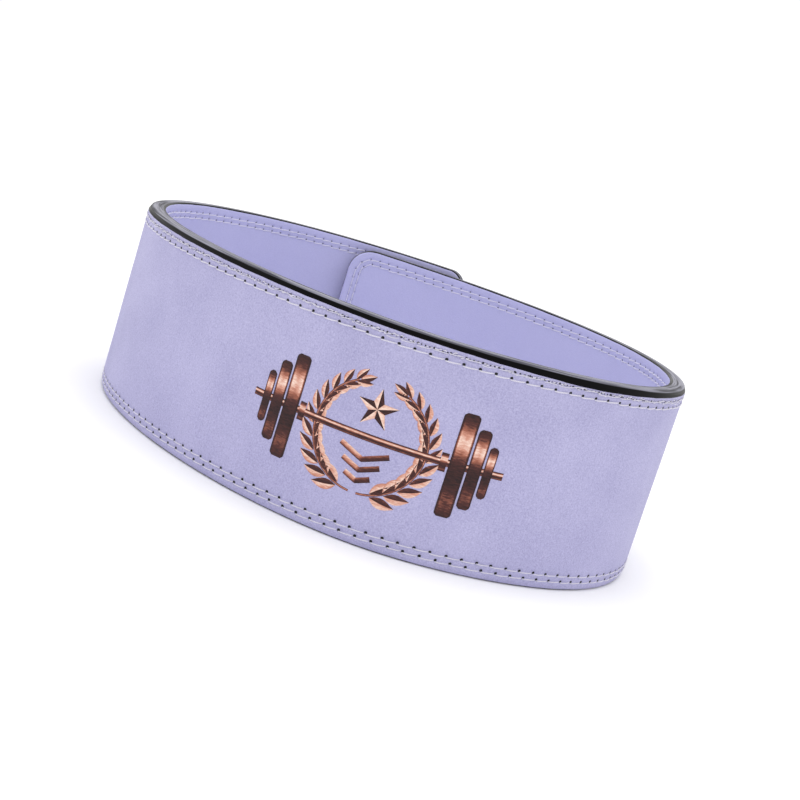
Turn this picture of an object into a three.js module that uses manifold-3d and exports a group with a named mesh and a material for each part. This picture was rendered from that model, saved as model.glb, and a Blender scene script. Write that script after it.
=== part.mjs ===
// A leather weightlifting belt, closed to its worn loop and standing on its lower edge.
// The strap is three plies glued and sewn into one: a face leather, a thick core and a lining.
// It winds clockwise, seen from above: from the inner tip at the back, round the right side, the front
// and the left side, to the outer tip, which lies over the inner end. A plain clasp pins the two ends.
// Millimetres. +Z is up along the loop's axis, -Y is the front of the loop, +X its right.

import * as THREE from 'three';
import { mergeVertices } from 'three/addons/utils/BufferGeometryUtils.js';
import Module from 'manifold-3d';

const wasm = await Module();
wasm.setup();

// Strap sizes
const beltWidth = 100;
const liningThickness = 2.0;
const coreThickness = 4.4;
const faceThickness = 2.0;
const glueGap = 0.3;
const outerShoulder = 2.8;
const innerShoulder = 1.3;
const innerTipRadius = 15;
const outerTipRadius = 10;

// Loop sizes
const hollowRadius = 138.7;
const overlap = 73;
const lapGap = 0.8;
const outerEndRise = 3.1;
const riseLength = 260;

// Directions, in degrees. Turns count clockwise from the inner tip, seen from above.
const innerTipLean = 3.9;
const lapStart = 257.5;
const lapSpan = 64;

// How the hollow departs from a round one. Each row adds lobes to the distance between the loop's
// axis and the wall's tangent, as shares of the hollow's radius.
const hollowLobes = [
  { lobes: 2, cosine: -0.008, sine: -0.099 },
  { lobes: 3, cosine: -0.005, sine: 0.018 },
  { lobes: 4, cosine: 0.008, sine: 0.001 },
  { lobes: 5, cosine: -0.011, sine: -0.002 },
];

// Clasp sizes
const claspLength = 46;
const claspHeight = 58;
const claspThickness = 3;
const claspCornerRadius = 8;
const claspEdgeRound = 1;
const postRadius = 4;
const postPitch = 26;
const headRadius = 6.5;
const headHeight = 1.6;
const fitClearance = 0.3;

// Fineness of the facets
const stationStep = 7;
const cornerSteps = 4;
const shoulderSteps = 3;
const roundSides = 24;
const turnSamples = 1800;

// The plies from the hollow outwards
const coreInside = liningThickness + glueGap;
const coreOutside = coreInside + coreThickness;
const faceInside = coreOutside + glueGap;
const strapThickness = faceInside + faceThickness;
const lapStep = strapThickness + lapGap;

const halfTurn = Math.PI;
const fullTurn = 2 * Math.PI;
const radians = THREE.MathUtils.degToRad;

// A step from 0 to 1 with level ends and no sudden bend, and its slope
function smoothStep(share) {
  const t = THREE.MathUtils.clamp(share, 0, 1);
  return { value: t ** 3 * (10 - 15 * t + 6 * t * t), slope: 30 * t * t * (1 - t) ** 2 };
}

// The wall's inside at a turn from the inner tip: its place and its outward normal. The wall is given
// by the distance of its tangent from the axis, so each ply further out is a parallel curve.
function wallAt(turn) {
  const direction = halfTurn / 2 + radians(innerTipLean) - turn;
  let distance = hollowRadius;
  let slope = 0;
  for (const { lobes, cosine, sine } of hollowLobes) {
    const angle = lobes * direction;
    distance += hollowRadius * (cosine * Math.cos(angle) + sine * Math.sin(angle));
    slope += hollowRadius * lobes * (sine * Math.cos(angle) - cosine * Math.sin(angle));
  }
  const step = smoothStep((turn - radians(lapStart)) / radians(lapSpan));
  distance += lapStep * step.value;
  slope -= (lapStep * step.slope) / radians(lapSpan);
  const normal = new THREE.Vector2(Math.cos(direction), Math.sin(direction));
  const tangent = new THREE.Vector2(-normal.y, normal.x);
  const place = normal.clone().multiplyScalar(distance).addScaledVector(tangent, slope);
  return { place, normal };
}

// Lengths along the middle of the strap's thickness, at even turns from the inner tip
const sampledTurn = 1.5 * fullTurn;
const middleLengths = [0];
for (let i = 1; i <= turnSamples; i += 1) {
  const ends = [i - 1, i].map((index) => {
    const { place, normal } = wallAt((sampledTurn * index) / turnSamples);
    return place.addScaledVector(normal, strapThickness / 2);
  });
  middleLengths.push(middleLengths[i - 1] + ends[0].distanceTo(ends[1]));
}

function lengthAtTurn(turn) {
  const index = (turn / sampledTurn) * turnSamples;
  const low = Math.floor(index);
  return THREE.MathUtils.lerp(middleLengths[low], middleLengths[low + 1], index - low);
}

function turnAtLength(length) {
  const high = middleLengths.findIndex((sample) => sample > length);
  const low = Math.max(high - 1, 0);
  const share = (length - middleLengths[low]) / (middleLengths[low + 1] - middleLengths[low]);
  return (sampledTurn * (low + share)) / turnSamples;
}

const strapLength = lengthAtTurn(fullTurn) + overlap;

// The outer end stands a little higher than the rest of the strap
function riseAt(length) {
  return outerEndRise * THREE.MathUtils.smoothstep(length, strapLength - riseLength, strapLength);
}

// A point of the strap: length from the inner tip, depth outwards from the hollow, height from the edge
function strapPoint(length, depth, height) {
  const { place, normal } = wallAt(turnAtLength(length));
  place.addScaledVector(normal, depth);
  return new THREE.Vector3(place.x, place.y, height + riseAt(length));
}

// Stations along a round-cornered panel, as functions of how far its outline is drawn in at one depth
function panelStations({ start, end, startRadius, endRadius }) {
  const stations = [];
  for (let i = 0; i <= cornerSteps; i += 1) {
    const angle = (halfTurn / 2) * (i / cornerSteps);
    stations.push((inset) => ({
      length: start + startRadius - (startRadius - inset) * Math.cos(angle),
      margin: startRadius - (startRadius - inset) * Math.sin(angle),
    }));
  }
  const plainLength = end - start - startRadius - endRadius;
  const plainSteps = Math.max(1, Math.round(plainLength / stationStep));
  for (let i = 1; i < plainSteps; i += 1) {
    const length = start + startRadius + (plainLength * i) / plainSteps;
    stations.push((inset) => ({ length, margin: inset }));
  }
  for (let i = cornerSteps; i >= 0; i -= 1) {
    const angle = (halfTurn / 2) * (i / cornerSteps);
    stations.push((inset) => ({
      length: end - endRadius + (endRadius - inset) * Math.cos(angle),
      margin: endRadius - (endRadius - inset) * Math.sin(angle),
    }));
  }
  return stations;
}

// A closed panel bent along the strap. Its levels go outwards, each with a depth and an inset.
function bentPanel({ low, high, levels, ...outline }) {
  const stations = panelStations(outline);
  const rowSize = stations.length;
  const positions = [];
  for (const { depth, inset } of levels) {
    for (const station of stations) {
      const { length, margin } = station(inset);
      positions.push(...strapPoint(length, depth, low + margin).toArray());
      positions.push(...strapPoint(length, depth, high - margin).toArray());
    }
  }
  const bottom = (level, i) => 2 * (level * rowSize + i);
  const top = (level, i) => bottom(level, i) + 1;
  const indices = [];
  const quad = (a, b, c, d) => indices.push(a, b, c, a, c, d);
  const last = levels.length - 1;
  const end = rowSize - 1;
  for (let i = 0; i < end; i += 1) {
    quad(bottom(0, i), bottom(0, i + 1), top(0, i + 1), top(0, i));
    quad(bottom(last, i + 1), bottom(last, i), top(last, i), top(last, i + 1));
    for (let level = 0; level < last; level += 1) {
      quad(top(level, i), top(level, i + 1), top(level + 1, i + 1), top(level + 1, i));
      quad(bottom(level, i + 1), bottom(level, i), bottom(level + 1, i), bottom(level + 1, i + 1));
    }
  }
  for (let level = 0; level < last; level += 1) {
    quad(bottom(level, 0), top(level, 0), top(level + 1, 0), bottom(level + 1, 0));
    quad(top(level, end), bottom(level, end), bottom(level + 1, end), top(level + 1, end));
  }
  const geometry = new THREE.BufferGeometry();
  geometry.setAttribute('position', new THREE.Float32BufferAttribute(positions, 3));
  geometry.setIndex(indices);
  return geometry;
}

// How far the strap's rounded edge is drawn in at a depth: the shoulders at the face and the lining
function edgeInset(depth) {
  const intoOuter = Math.max(0, depth - (strapThickness - outerShoulder));
  const intoInner = Math.max(0, innerShoulder - depth);
  const outer = outerShoulder - Math.sqrt(Math.max(0, outerShoulder ** 2 - intoOuter ** 2));
  const inner = innerShoulder - Math.sqrt(Math.max(0, innerShoulder ** 2 - intoInner ** 2));
  return Math.max(outer, inner);
}

// The levels of a ply between two depths, with extra ones where a shoulder's arc passes through it
function plyLevels(inside, outside) {
  const depths = [inside, outside];
  for (let i = 0; i < shoulderSteps; i += 1) {
    const share = Math.sin(((halfTurn / 2) * i) / shoulderSteps);
    depths.push(innerShoulder * (1 - share));
    depths.push(strapThickness - outerShoulder * (1 - share));
  }
  const within = depths.filter((depth) => depth >= inside && depth <= outside);
  const ordered = [...new Set(within)].sort((a, b) => a - b);
  return ordered.map((depth) => ({ depth, inset: edgeInset(depth) }));
}

function ply(inside, outside) {
  return bentPanel({
    start: 0,
    end: strapLength,
    startRadius: innerTipRadius,
    endRadius: outerTipRadius,
    low: 0,
    high: beltWidth,
    levels: plyLevels(inside, outside),
  });
}

// Solids for cutting and joining
function toSolid(geometry) {
  geometry.deleteAttribute('normal');
  geometry.deleteAttribute('uv');
  const merged = mergeVertices(geometry);
  return new wasm.Manifold(new wasm.Mesh({
    numProp: 3,
    vertProperties: Float32Array.from(merged.attributes.position.array),
    triVerts: Uint32Array.from(merged.index.array),
  }));
}

function toGeometry(solid) {
  const { vertProperties, triVerts } = solid.getMesh();
  const geometry = new THREE.BufferGeometry();
  geometry.setAttribute('position', new THREE.Float32BufferAttribute(vertProperties, 3));
  geometry.setIndex(Array.from(triVerts));
  return geometry;
}

// The clasp lies over the middle of the overlap, square to the strap there
const claspCentre = strapLength - overlap / 2;
const claspNormal = wallAt(turnAtLength(claspCentre)).normal;
const claspInside = strapThickness + fitClearance;
const claspOutside = claspInside + claspThickness;
const postHeights = [-postPitch / 2, postPitch / 2].map((offset) => beltWidth / 2 + offset);

// A rod square to the clasp at one post's height, between two depths of the outer end
function rodAcross(radius, height, inside, outside) {
  const rod = new THREE.CylinderGeometry(radius, radius, outside - inside, roundSides);
  const along = new THREE.Vector3(claspNormal.x, claspNormal.y, 0);
  const middle = strapPoint(claspCentre, (inside + outside) / 2, height);
  rod.applyQuaternion(new THREE.Quaternion().setFromUnitVectors(new THREE.Vector3(0, 1, 0), along));
  rod.translate(middle.x, middle.y, middle.z);
  return toSolid(rod);
}

// Holes for the posts, from a depth of the outer end outwards
function punched(geometry, inside) {
  const holeRadius = postRadius + fitClearance;
  let solid = toSolid(geometry);
  for (const height of postHeights) {
    solid = solid.subtract(rodAcross(holeRadius, height, inside, claspOutside));
  }
  return toGeometry(solid);
}

// The posts go through the outer end, and into the inner end as far as its lining, which covers them
const innerEndOutside = -lapStep;
const liningCover = innerEndOutside + liningThickness + fitClearance;
const betweenLaps = -lapGap / 2;

function clasp() {
  const plate = bentPanel({
    start: claspCentre - claspLength / 2,
    end: claspCentre + claspLength / 2,
    startRadius: claspCornerRadius,
    endRadius: claspCornerRadius,
    low: (beltWidth - claspHeight) / 2,
    high: (beltWidth + claspHeight) / 2,
    levels: [
      { depth: claspInside, inset: 0 },
      { depth: claspOutside - claspEdgeRound, inset: 0 },
      { depth: claspOutside, inset: claspEdgeRound },
    ],
  });
  let solid = toSolid(plate);
  for (const height of postHeights) {
    solid = solid.add(rodAcross(postRadius, height, liningCover, claspOutside));
    solid = solid.add(rodAcross(headRadius, height, claspInside, claspOutside + headHeight));
  }
  return toGeometry(solid);
}

const lilacLeather = { color: '#b7b4da', roughness: 0.75, metalness: 0 };
const edgePaint = { color: '#17161b', roughness: 0.35, metalness: 0 };
const plainSteel = { color: '#9a9ca1', roughness: 0.4, metalness: 1 };

const belt = new THREE.Group();

function addPiece(name, geometry, finish) {
  const piece = new THREE.Mesh(geometry, new THREE.MeshStandardMaterial(finish));
  piece.name = name;
  belt.add(piece);
}

addPiece('face_leather', punched(ply(faceInside, strapThickness), innerEndOutside), lilacLeather);
addPiece('core_leather', punched(ply(coreInside, coreOutside), innerEndOutside), edgePaint);
addPiece('lining_leather', punched(ply(0, liningThickness), betweenLaps), lilacLeather);
addPiece('clasp', clasp(), plainSteel);

// The origin is at the middle of the loop's box, on the surface that the lower edge stands on
const box = new THREE.Box3().setFromObject(belt);
const middle = box.getCenter(new THREE.Vector3());
belt.position.set(-middle.x, -middle.y, -box.min.z);

export default belt;
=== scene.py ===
"""The looks of a leather weightlifting belt, closed to a loop and standing on its lower edge.

The strap is three plies of leather, glued and sewn into one: an outer ply, a thick middle ply and a
lining. It is described as if it lay flat, by a length from its inner tip, an inset from its cut edge
and a depth outwards from the hollow, and is then bent along the loop's path. Sizes are millimetres,
and each mesh is made in metres in the part's own frame.
"""
import logging
import math
from dataclasses import dataclass, field, replace
from enum import Enum
from functools import cached_property

import bpy
import numpy as np
from mathutils import Matrix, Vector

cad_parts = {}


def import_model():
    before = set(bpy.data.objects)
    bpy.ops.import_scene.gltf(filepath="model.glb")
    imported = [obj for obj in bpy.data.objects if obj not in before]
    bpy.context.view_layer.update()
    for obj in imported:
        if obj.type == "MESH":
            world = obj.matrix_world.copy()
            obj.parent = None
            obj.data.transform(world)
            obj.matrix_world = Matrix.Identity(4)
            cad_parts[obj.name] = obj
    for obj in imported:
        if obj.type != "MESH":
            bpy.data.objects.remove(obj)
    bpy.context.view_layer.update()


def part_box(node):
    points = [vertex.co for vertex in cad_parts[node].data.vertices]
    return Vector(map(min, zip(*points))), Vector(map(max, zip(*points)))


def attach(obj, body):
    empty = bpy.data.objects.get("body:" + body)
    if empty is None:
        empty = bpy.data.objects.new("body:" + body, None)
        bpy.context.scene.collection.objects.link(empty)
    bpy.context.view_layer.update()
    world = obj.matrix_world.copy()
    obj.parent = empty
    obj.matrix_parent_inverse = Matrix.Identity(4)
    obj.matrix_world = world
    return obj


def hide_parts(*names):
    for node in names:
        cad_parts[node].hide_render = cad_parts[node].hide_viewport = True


METRES = 0.001
IMAGE_SIDE = 800
SENSOR_WIDTH = 36.0
# Stations number the ends of the strap's corners, and at the last one its outline closes.
LAST_STATION = 12
# Blender's wave texture turns through this many radians in one unit.
WAVE_RADIANS = 20

log = logging.getLogger("belt")


class Side(Enum):
    """Which face of the strap a ply or a row of stitches shows on."""

    OUTSIDE = "outside"
    HOLLOW = "hollow"


def linear(hex_colour: str) -> tuple[float, float, float, float]:
    """Turns an sRGB hex colour to linear light.

    Args:
        hex_colour: Six hex digits after a hash sign.

    Returns:
        Red, green, blue and an alpha of one.
    """
    shares = [int(hex_colour[start : start + 2], 16) / 255 for start in (1, 3, 5)]
    levels = [v / 12.92 if v <= 0.04045 else ((v + 0.055) / 1.055) ** 2.4 for v in shares]
    return (*levels, 1.0)


def feed(tree: bpy.types.NodeTree, node: bpy.types.Node, inputs: dict) -> None:
    """Puts values or other nodes' outputs into a node's sockets.

    Args:
        tree: The node tree.
        node: The node.
        inputs: A value or an output for each socket, by the socket's name or number.
    """
    for key, value in inputs.items():
        socket = node.inputs[key]
        if isinstance(value, bpy.types.NodeSocket):
            tree.links.new(value, socket)
        else:
            socket.default_value = value


def add_node(tree: bpy.types.NodeTree, kind: str, settings: dict | None = None,
             inputs: dict | None = None) -> bpy.types.Node:
    """Adds a node to a material, with its settings and what goes into its sockets.

    Args:
        tree: The node tree that gets the node.
        kind: The node's type name.
        settings: Values of the node's own properties.
        inputs: A value or another node's output for each socket, by the socket's name or number.

    Returns:
        The new node.
    """
    node = tree.nodes.new(kind)
    for name, value in (settings or {}).items():
        setattr(node, name, value)
    feed(tree, node, inputs or {})
    return node


def new_material(name: str) -> tuple[bpy.types.Material, bpy.types.NodeTree, bpy.types.Node]:
    """Makes a material with an empty tree but for its shader and output.

    Args:
        name: The material's name.

    Returns:
        The material, its node tree and its Principled shader.
    """
    material = bpy.data.materials.new(name)
    material.use_nodes = True
    tree = material.node_tree
    tree.nodes.clear()
    shader = add_node(tree, "ShaderNodeBsdfPrincipled")
    add_node(tree, "ShaderNodeOutputMaterial", inputs={"Surface": shader.outputs["BSDF"]})
    return material, tree, shader


@dataclass(frozen=True)
class StrapPath:
    """How the strap is bent to its loop, seen from above.

    Attributes:
        hollow_radius: Mean radius of the hollow.
        lobes: Number of lobes, cosine share and sine share of each way the hollow departs from round.
        thickness: The strap's thickness.
        width: The strap's width.
        overlap: How far the outer end lies past the inner tip.
        lap_step: How much further out the strap lies once it has passed over the inner end.
        lap_start: Where that step starts, in degrees of turn from the inner tip.
        lap_span: How many degrees the step takes.
        tip_lean: How far the inner tip is turned from straight back, in degrees.
        end_rise: How much higher the outer end stands than the rest.
        rise_length: The length over which it rises.
        samples: Turns that the length is summed over.
        origin: The loop's axis in the part's frame.
    """

    hollow_radius: float = 138.7
    lobes: tuple[tuple[int, float, float], ...] = (
        (2, -0.008, -0.099),
        (3, -0.005, 0.018),
        (4, 0.008, 0.001),
        (5, -0.011, -0.002),
    )
    thickness: float = 9.0
    width: float = 100.0
    overlap: float = 73.0
    lap_step: float = 9.8
    lap_start: float = 257.5
    lap_span: float = 64.0
    tip_lean: float = 3.9
    end_rise: float = 3.1
    rise_length: float = 260.0
    samples: int = 5400
    origin: tuple[float, float] = (0.0, 0.0)

    def wall(self, turn: np.ndarray) -> tuple[np.ndarray, np.ndarray]:
        """Gives the hollow's face and its outward normal.

        The wall's tangent lies at a distance from the axis: the radius times one plus each lobe's
        cosine and sine share, plus the lap's step times t^3 (10 - 15 t + 6 t^2). The place is that
        distance along the normal plus its slope along the tangent, so every depth is a parallel curve.

        Args:
            turn: Turns clockwise from the inner tip, in radians.

        Returns:
            The places and the normals, both flat.
        """
        direction = math.pi / 2 + math.radians(self.tip_lean) - turn
        distance = np.full_like(direction, self.hollow_radius)
        slope = np.zeros_like(direction)
        for count, cosine, sine in self.lobes:
            angle = count * direction
            distance += self.hollow_radius * (cosine * np.cos(angle) + sine * np.sin(angle))
            slope += self.hollow_radius * count * (sine * np.cos(angle) - cosine * np.sin(angle))
        span = math.radians(self.lap_span)
        share = np.clip((turn - math.radians(self.lap_start)) / span, 0, 1)
        distance += self.lap_step * share**3 * (10 - 15 * share + 6 * share**2)
        slope -= self.lap_step * 30 * share**2 * (1 - share) ** 2 / span
        normal = np.stack([np.cos(direction), np.sin(direction)], axis=-1)
        tangent = np.stack([-normal[..., 1], normal[..., 0]], axis=-1)
        return distance[..., None] * normal + slope[..., None] * tangent, normal

    @cached_property
    def lengths(self) -> tuple[np.ndarray, np.ndarray]:
        """Turns from the inner tip, and the length along the middle of the thickness up to each."""
        turn = np.linspace(0, 3 * math.pi, self.samples + 1)
        place, normal = self.wall(turn)
        middle = place + normal * self.thickness / 2
        steps = np.linalg.norm(np.diff(middle, axis=0), axis=1)
        return turn, np.concatenate([[0.0], np.cumsum(steps)])

    @cached_property
    def length(self) -> float:
        """The strap's length: once round, and the overlap."""
        turn, length = self.lengths
        return float(np.interp(2 * math.pi, turn, length)) + self.overlap

    def point(self, length: np.ndarray, depth: np.ndarray, height: np.ndarray) -> np.ndarray:
        """Bends points of the flat strap to the loop.

        Height gains the outer end's rise times 3 t^2 - 2 t^3 over the rise's length.

        Args:
            length: Lengths from the inner tip.
            depth: Depths outwards from the hollow's face.
            height: Heights from the strap's lower edge.

        Returns:
            Points in the part's frame, in millimetres.
        """
        length, depth, height = np.broadcast_arrays(length, depth, height)
        turn = np.interp(length, self.lengths[1], self.lengths[0])
        place, normal = self.wall(turn)
        flat = place + normal * depth[..., None] + np.array(self.origin)
        share = np.clip((length - self.length + self.rise_length) / self.rise_length, 0, 1)
        rise = self.end_rise * share**2 * (3 - 2 * share)
        return np.concatenate([flat, (height + rise)[..., None]], axis=-1)

    def placed(self, corners: tuple) -> "StrapPath":
        """Moves the loop's axis to where the solid model has it.

        Args:
            corners: Lowest and highest corner of the outer ply's solid, in metres.

        Returns:
            The path with its axis in the part's frame.
        """
        outside = self.point(np.linspace(0, self.length, self.samples), self.thickness, 0.0)
        low, high = (np.array(corner) / METRES for corner in corners)
        across = (low[0] + high[0] - outside[:, 0].min() - outside[:, 0].max()) / 2
        front = low[1] - outside[:, 1].min()
        return replace(self, origin=(float(across), float(front)))


@dataclass(frozen=True)
class Outline:
    """The strap's cut outline, laid flat: a long box with round corners.

    Attributes:
        length: The strap's length.
        width: The strap's width.
        inner_radius: Corner radius of the inner tip.
        outer_radius: Corner radius of the outer tip.
    """

    length: float
    width: float = 100.0
    inner_radius: float = 15.0
    outer_radius: float = 10.0

    @cached_property
    def corners(self) -> np.ndarray:
        """Angle of the normal, centre along, centre up and radius, at each change of the outline.

        It starts at the middle of the inner tip's lower corner and goes along the lower edge. Between
        two rows everything changes evenly.
        """
        inner, outer = self.inner_radius, self.outer_radius
        far, top = self.length - outer, self.width
        low_in, low_out = (inner, inner, inner), (far, outer, outer)
        top_in, top_out = (inner, top - inner, inner), (far, top - outer, outer)
        corners = [low_in, low_out, top_out, top_in, low_in]
        turns = [(-135, -90), (-90, -45, 0), (0, 45, 90), (90, 135, 180), (180, 225)]
        table = np.array([(angle, *corner) for corner, angles in zip(corners, turns)
                          for angle in angles], float)
        table[:, 0] = np.radians(table[:, 0])
        return table

    def walked(self, inset: float) -> np.ndarray:
        """Lengths walked along the line at one inset, up to each row of the corner table."""
        angle, along, up, radius = self.corners.T
        arcs = np.diff(angle) * (radius[1:] - inset)
        upright = np.isclose(np.abs(np.cos(angle[1:])), 1)
        run = np.where(upright, np.abs(np.diff(up)), np.abs(np.diff(along)))
        return np.concatenate([[0.0], np.cumsum(np.where(np.isclose(arcs, 0), run, arcs))])

    def along(self, station: np.ndarray, inset: float) -> np.ndarray:
        """Lengths walked along the line at one inset, up to stations whole or in between."""
        lengths = self.walked(inset)
        return np.interp(station, np.arange(len(lengths)), lengths)

    def station(self, walked: np.ndarray, inset: float) -> np.ndarray:
        """Turns lengths walked at one inset to stations, which every inset shares.

        A station is the number of the corner table's row, whole or in between.

        Args:
            walked: Lengths walked along the line at that inset.
            inset: The line's inset.

        Returns:
            The stations.
        """
        lengths = self.walked(inset)
        return np.interp(walked % lengths[-1], lengths, np.arange(len(lengths)))

    def place(self, station: np.ndarray, inset: np.ndarray) -> tuple[np.ndarray, np.ndarray]:
        """Gives flat places at an inset from the outline.

        A place is the corner's centre plus its radius less the inset along the outward normal.

        Args:
            station: Stations round the outline.
            inset: Insets from it.

        Returns:
            Lengths from the inner tip and heights from the lower edge.
        """
        rows = np.arange(len(self.corners))
        angle, along, up, radius = (np.interp(station, rows, column) for column in self.corners.T)
        return along + (radius - inset) * np.cos(angle), up + (radius - inset) * np.sin(angle)

    def upward(self, station: np.ndarray) -> np.ndarray:
        """How far the outward normal points up: 1 on the upper edge, -1 on the lower one."""
        return np.sin(np.interp(station, np.arange(len(self.corners)), self.corners[:, 0]))


@dataclass
class MeshParts:
    """A mesh in the making: its points, its faces and what they carry.

    Attributes:
        points: Points in millimetres.
        faces: Arrays of corner numbers, each of triangles or of quads.
        values: A value per point for each named attribute.
        maps: For each named UV map, an array of face corners for each array of faces.
    """

    points: np.ndarray
    faces: list[np.ndarray]
    values: dict[str, np.ndarray] = field(default_factory=dict)
    maps: dict[str, list[np.ndarray]] = field(default_factory=dict)

    def volume(self) -> float:
        """Six times the space inside: the sum of a . (b x c) over the triangles of all faces."""
        total = 0.0
        for face in self.faces:
            for i in range(1, face.shape[1] - 1):
                a, b, c = (self.points[face[:, j]] for j in (0, i, i + 1))
                total += float(np.einsum("ij,ij->", a, np.cross(b, c)))
        return total

    def outward(self) -> "MeshParts":
        """Turns the faces round if the mesh is inside out."""
        if self.volume() < 0:
            self.faces = [face[:, ::-1] for face in self.faces]
            self.maps = {key: [part[:, ::-1] for part in parts] for key, parts in self.maps.items()}
        return self

    def to_object(self, name: str, material: bpy.types.Material,
                  sharp_angle: float = 40.0) -> bpy.types.Object:
        """Makes the Blender object, smooth but for edges over an angle.

        Args:
            name: The piece's name.
            material: The piece's material.
            sharp_angle: Edges that turn more than this many degrees stay sharp.

        Returns:
            The new object, at the origin.
        """
        flat = np.concatenate([face.ravel() for face in self.faces])
        counts = np.concatenate([np.full(len(face), face.shape[1]) for face in self.faces])
        mesh = bpy.data.meshes.new(name)
        mesh.vertices.add(len(self.points))
        mesh.vertices.foreach_set("co", (self.points * METRES).astype(np.float32).ravel())
        mesh.loops.add(len(flat))
        mesh.loops.foreach_set("vertex_index", flat.astype(np.int32))
        mesh.polygons.add(len(counts))
        starts = np.concatenate([[0], np.cumsum(counts)[:-1]])
        mesh.polygons.foreach_set("loop_start", starts.astype(np.int32))
        mesh.update(calc_edges=True)
        for key, values in self.values.items():
            attribute = mesh.attributes.new(key, "FLOAT", "POINT")
            attribute.data.foreach_set("value", values.astype(np.float32).ravel())
        for key, parts in self.maps.items():
            layer = mesh.uv_layers.new(name=key)
            pairs = np.concatenate([part.reshape(-1, 2) for part in parts])
            layer.data.foreach_set("uv", pairs.astype(np.float32).ravel())
        mesh.polygons.foreach_set("use_smooth", np.ones(len(counts), bool))
        mesh.set_sharp_from_angle(angle=math.radians(sharp_angle))
        mesh.materials.append(material)
        piece = bpy.data.objects.new(name, mesh)
        bpy.context.scene.collection.objects.link(piece)
        return piece


def grid_faces(rows: int, columns: int, first: int = 0, closed: bool = False) -> np.ndarray:
    """Quads of a grid of points that are numbered row by row.

    Args:
        rows: Rows of points.
        columns: Points in a row.
        first: Number of the first point.
        closed: Whether the last column joins the first.

    Returns:
        Four corner numbers per face.
    """
    across = np.arange(columns if closed else columns - 1)
    down = np.arange(rows - 1)[:, None]
    after = (across + 1) % columns
    corners = [down * columns + across, down * columns + after,
               (down + 1) * columns + after, (down + 1) * columns + across]
    return first + np.stack(corners, axis=-1).reshape(-1, 4)


def capped(points: np.ndarray) -> MeshParts:
    """Joins rings of points, rows by columns by three, to a tube with a cap at each end."""
    rows, columns = points.shape[:2]
    around = np.arange(columns)
    caps = np.stack([around[::-1], (rows - 1) * columns + around])
    return MeshParts(points.reshape(-1, 3), [grid_faces(rows, columns, closed=True), caps])


def grid_rim(number: np.ndarray) -> np.ndarray:
    """Numbers of the points on a grid's rim, once round from its first point."""
    return np.concatenate([number[0, :-1], number[:-1, -1], number[-1, :0:-1], number[:0:-1, 0]])


def matrix_of(axes: tuple[np.ndarray, np.ndarray, np.ndarray], place: np.ndarray) -> Matrix:
    """Makes an object's matrix.

    Args:
        axes: The object's three axes.
        place: Its place, in metres.

    Returns:
        The matrix, with the axes and the place as its columns.
    """
    matrix = Matrix.Identity(4)
    for column, axis in enumerate((*axes, place)):
        for row in range(3):
            matrix[row][column] = float(axis[row])
    return matrix


def piece_of(scene_object: bpy.types.Object, slot: str, *nodes: str) -> None:
    """Hangs a piece on the root body, hides the solid model's nodes that it stands for, and logs its faces.

    Args:
        scene_object: The piece.
        slot: The record's material slot. Not used.
        nodes: The solid model's nodes that the piece stands for.
    """
    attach(scene_object, "root")
    if nodes:
        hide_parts(*nodes)
    log.info("%s: %d faces", scene_object.name, len(scene_object.data.polygons))


@dataclass(frozen=True)
class StitchRow:
    """One row of lockstitch that runs right round the strap at one inset.

    Attributes:
        outline: The strap's outline.
        inset: The row's inset from the edge.
        start: Where its first hole lies, as a share of a stitch.
        pitch: The mean stitch length that is aimed at.
        stretch: By what share they are longer at the front and sides. By the tips they are shorter by
            three times that.
        stray: How far a hole may stray along the row.
        seed: Seed of the strays.
    """

    outline: Outline
    inset: float
    start: float = 0.0
    pitch: float = 6.6
    stretch: float = 0.072
    stray: float = 0.2
    seed: int = 7

    @property
    def total(self) -> float:
        """The row's length once round."""
        return float(self.outline.walked(self.inset)[-1])

    @property
    def count(self) -> int:
        """How many stitches the row has."""
        return round(self.total / self.pitch)

    @cached_property
    def holes(self) -> tuple[np.ndarray, np.ndarray]:
        """Numbers of the holes and how far along the row they lie, with some past both ends.

        A hole lies at its even place e, less c (2 sin(w e) + sin(2 w e) / 2) / w, plus a seeded stray.
        Here c is the stretch and w goes round twice in one round of the row, so the row closes.
        """
        chance = np.random.default_rng(self.seed).normal(0, self.stray, self.count)
        numbers = np.arange(-3, self.count + 3)
        strays = np.clip(chance, -2 * self.stray, 2 * self.stray)[numbers % self.count]
        even = (numbers + self.start) * self.total / self.count
        wave = 4 * math.pi / self.total
        shift = 2 * np.sin(wave * even) + np.sin(2 * wave * even) / 2
        return numbers, even - self.stretch * shift / wave + strays

    def number(self, station: np.ndarray) -> np.ndarray:
        """Stitch numbers, whole at the holes, at stations of the outline."""
        return np.interp(self.outline.along(station, self.inset), self.holes[1], self.holes[0])

    def station(self, number: np.ndarray) -> np.ndarray:
        """Stations of the outline at stitch numbers, whole or in between."""
        return self.outline.station(np.interp(number, *self.holes), self.inset)


@dataclass(frozen=True)
class PlySection:
    """The cross-section of a ply at the strap's edge: rows of points from one face round to the other.

    Attributes:
        insets: Insets of the rows from the strap's edge.
        depths: Depths of the rows from the hollow.
        shown: How many rows lie on the ply's shown face, where the stitches are.
    """

    insets: tuple[float, ...]
    depths: tuple[float, ...]
    shown: int


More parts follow.
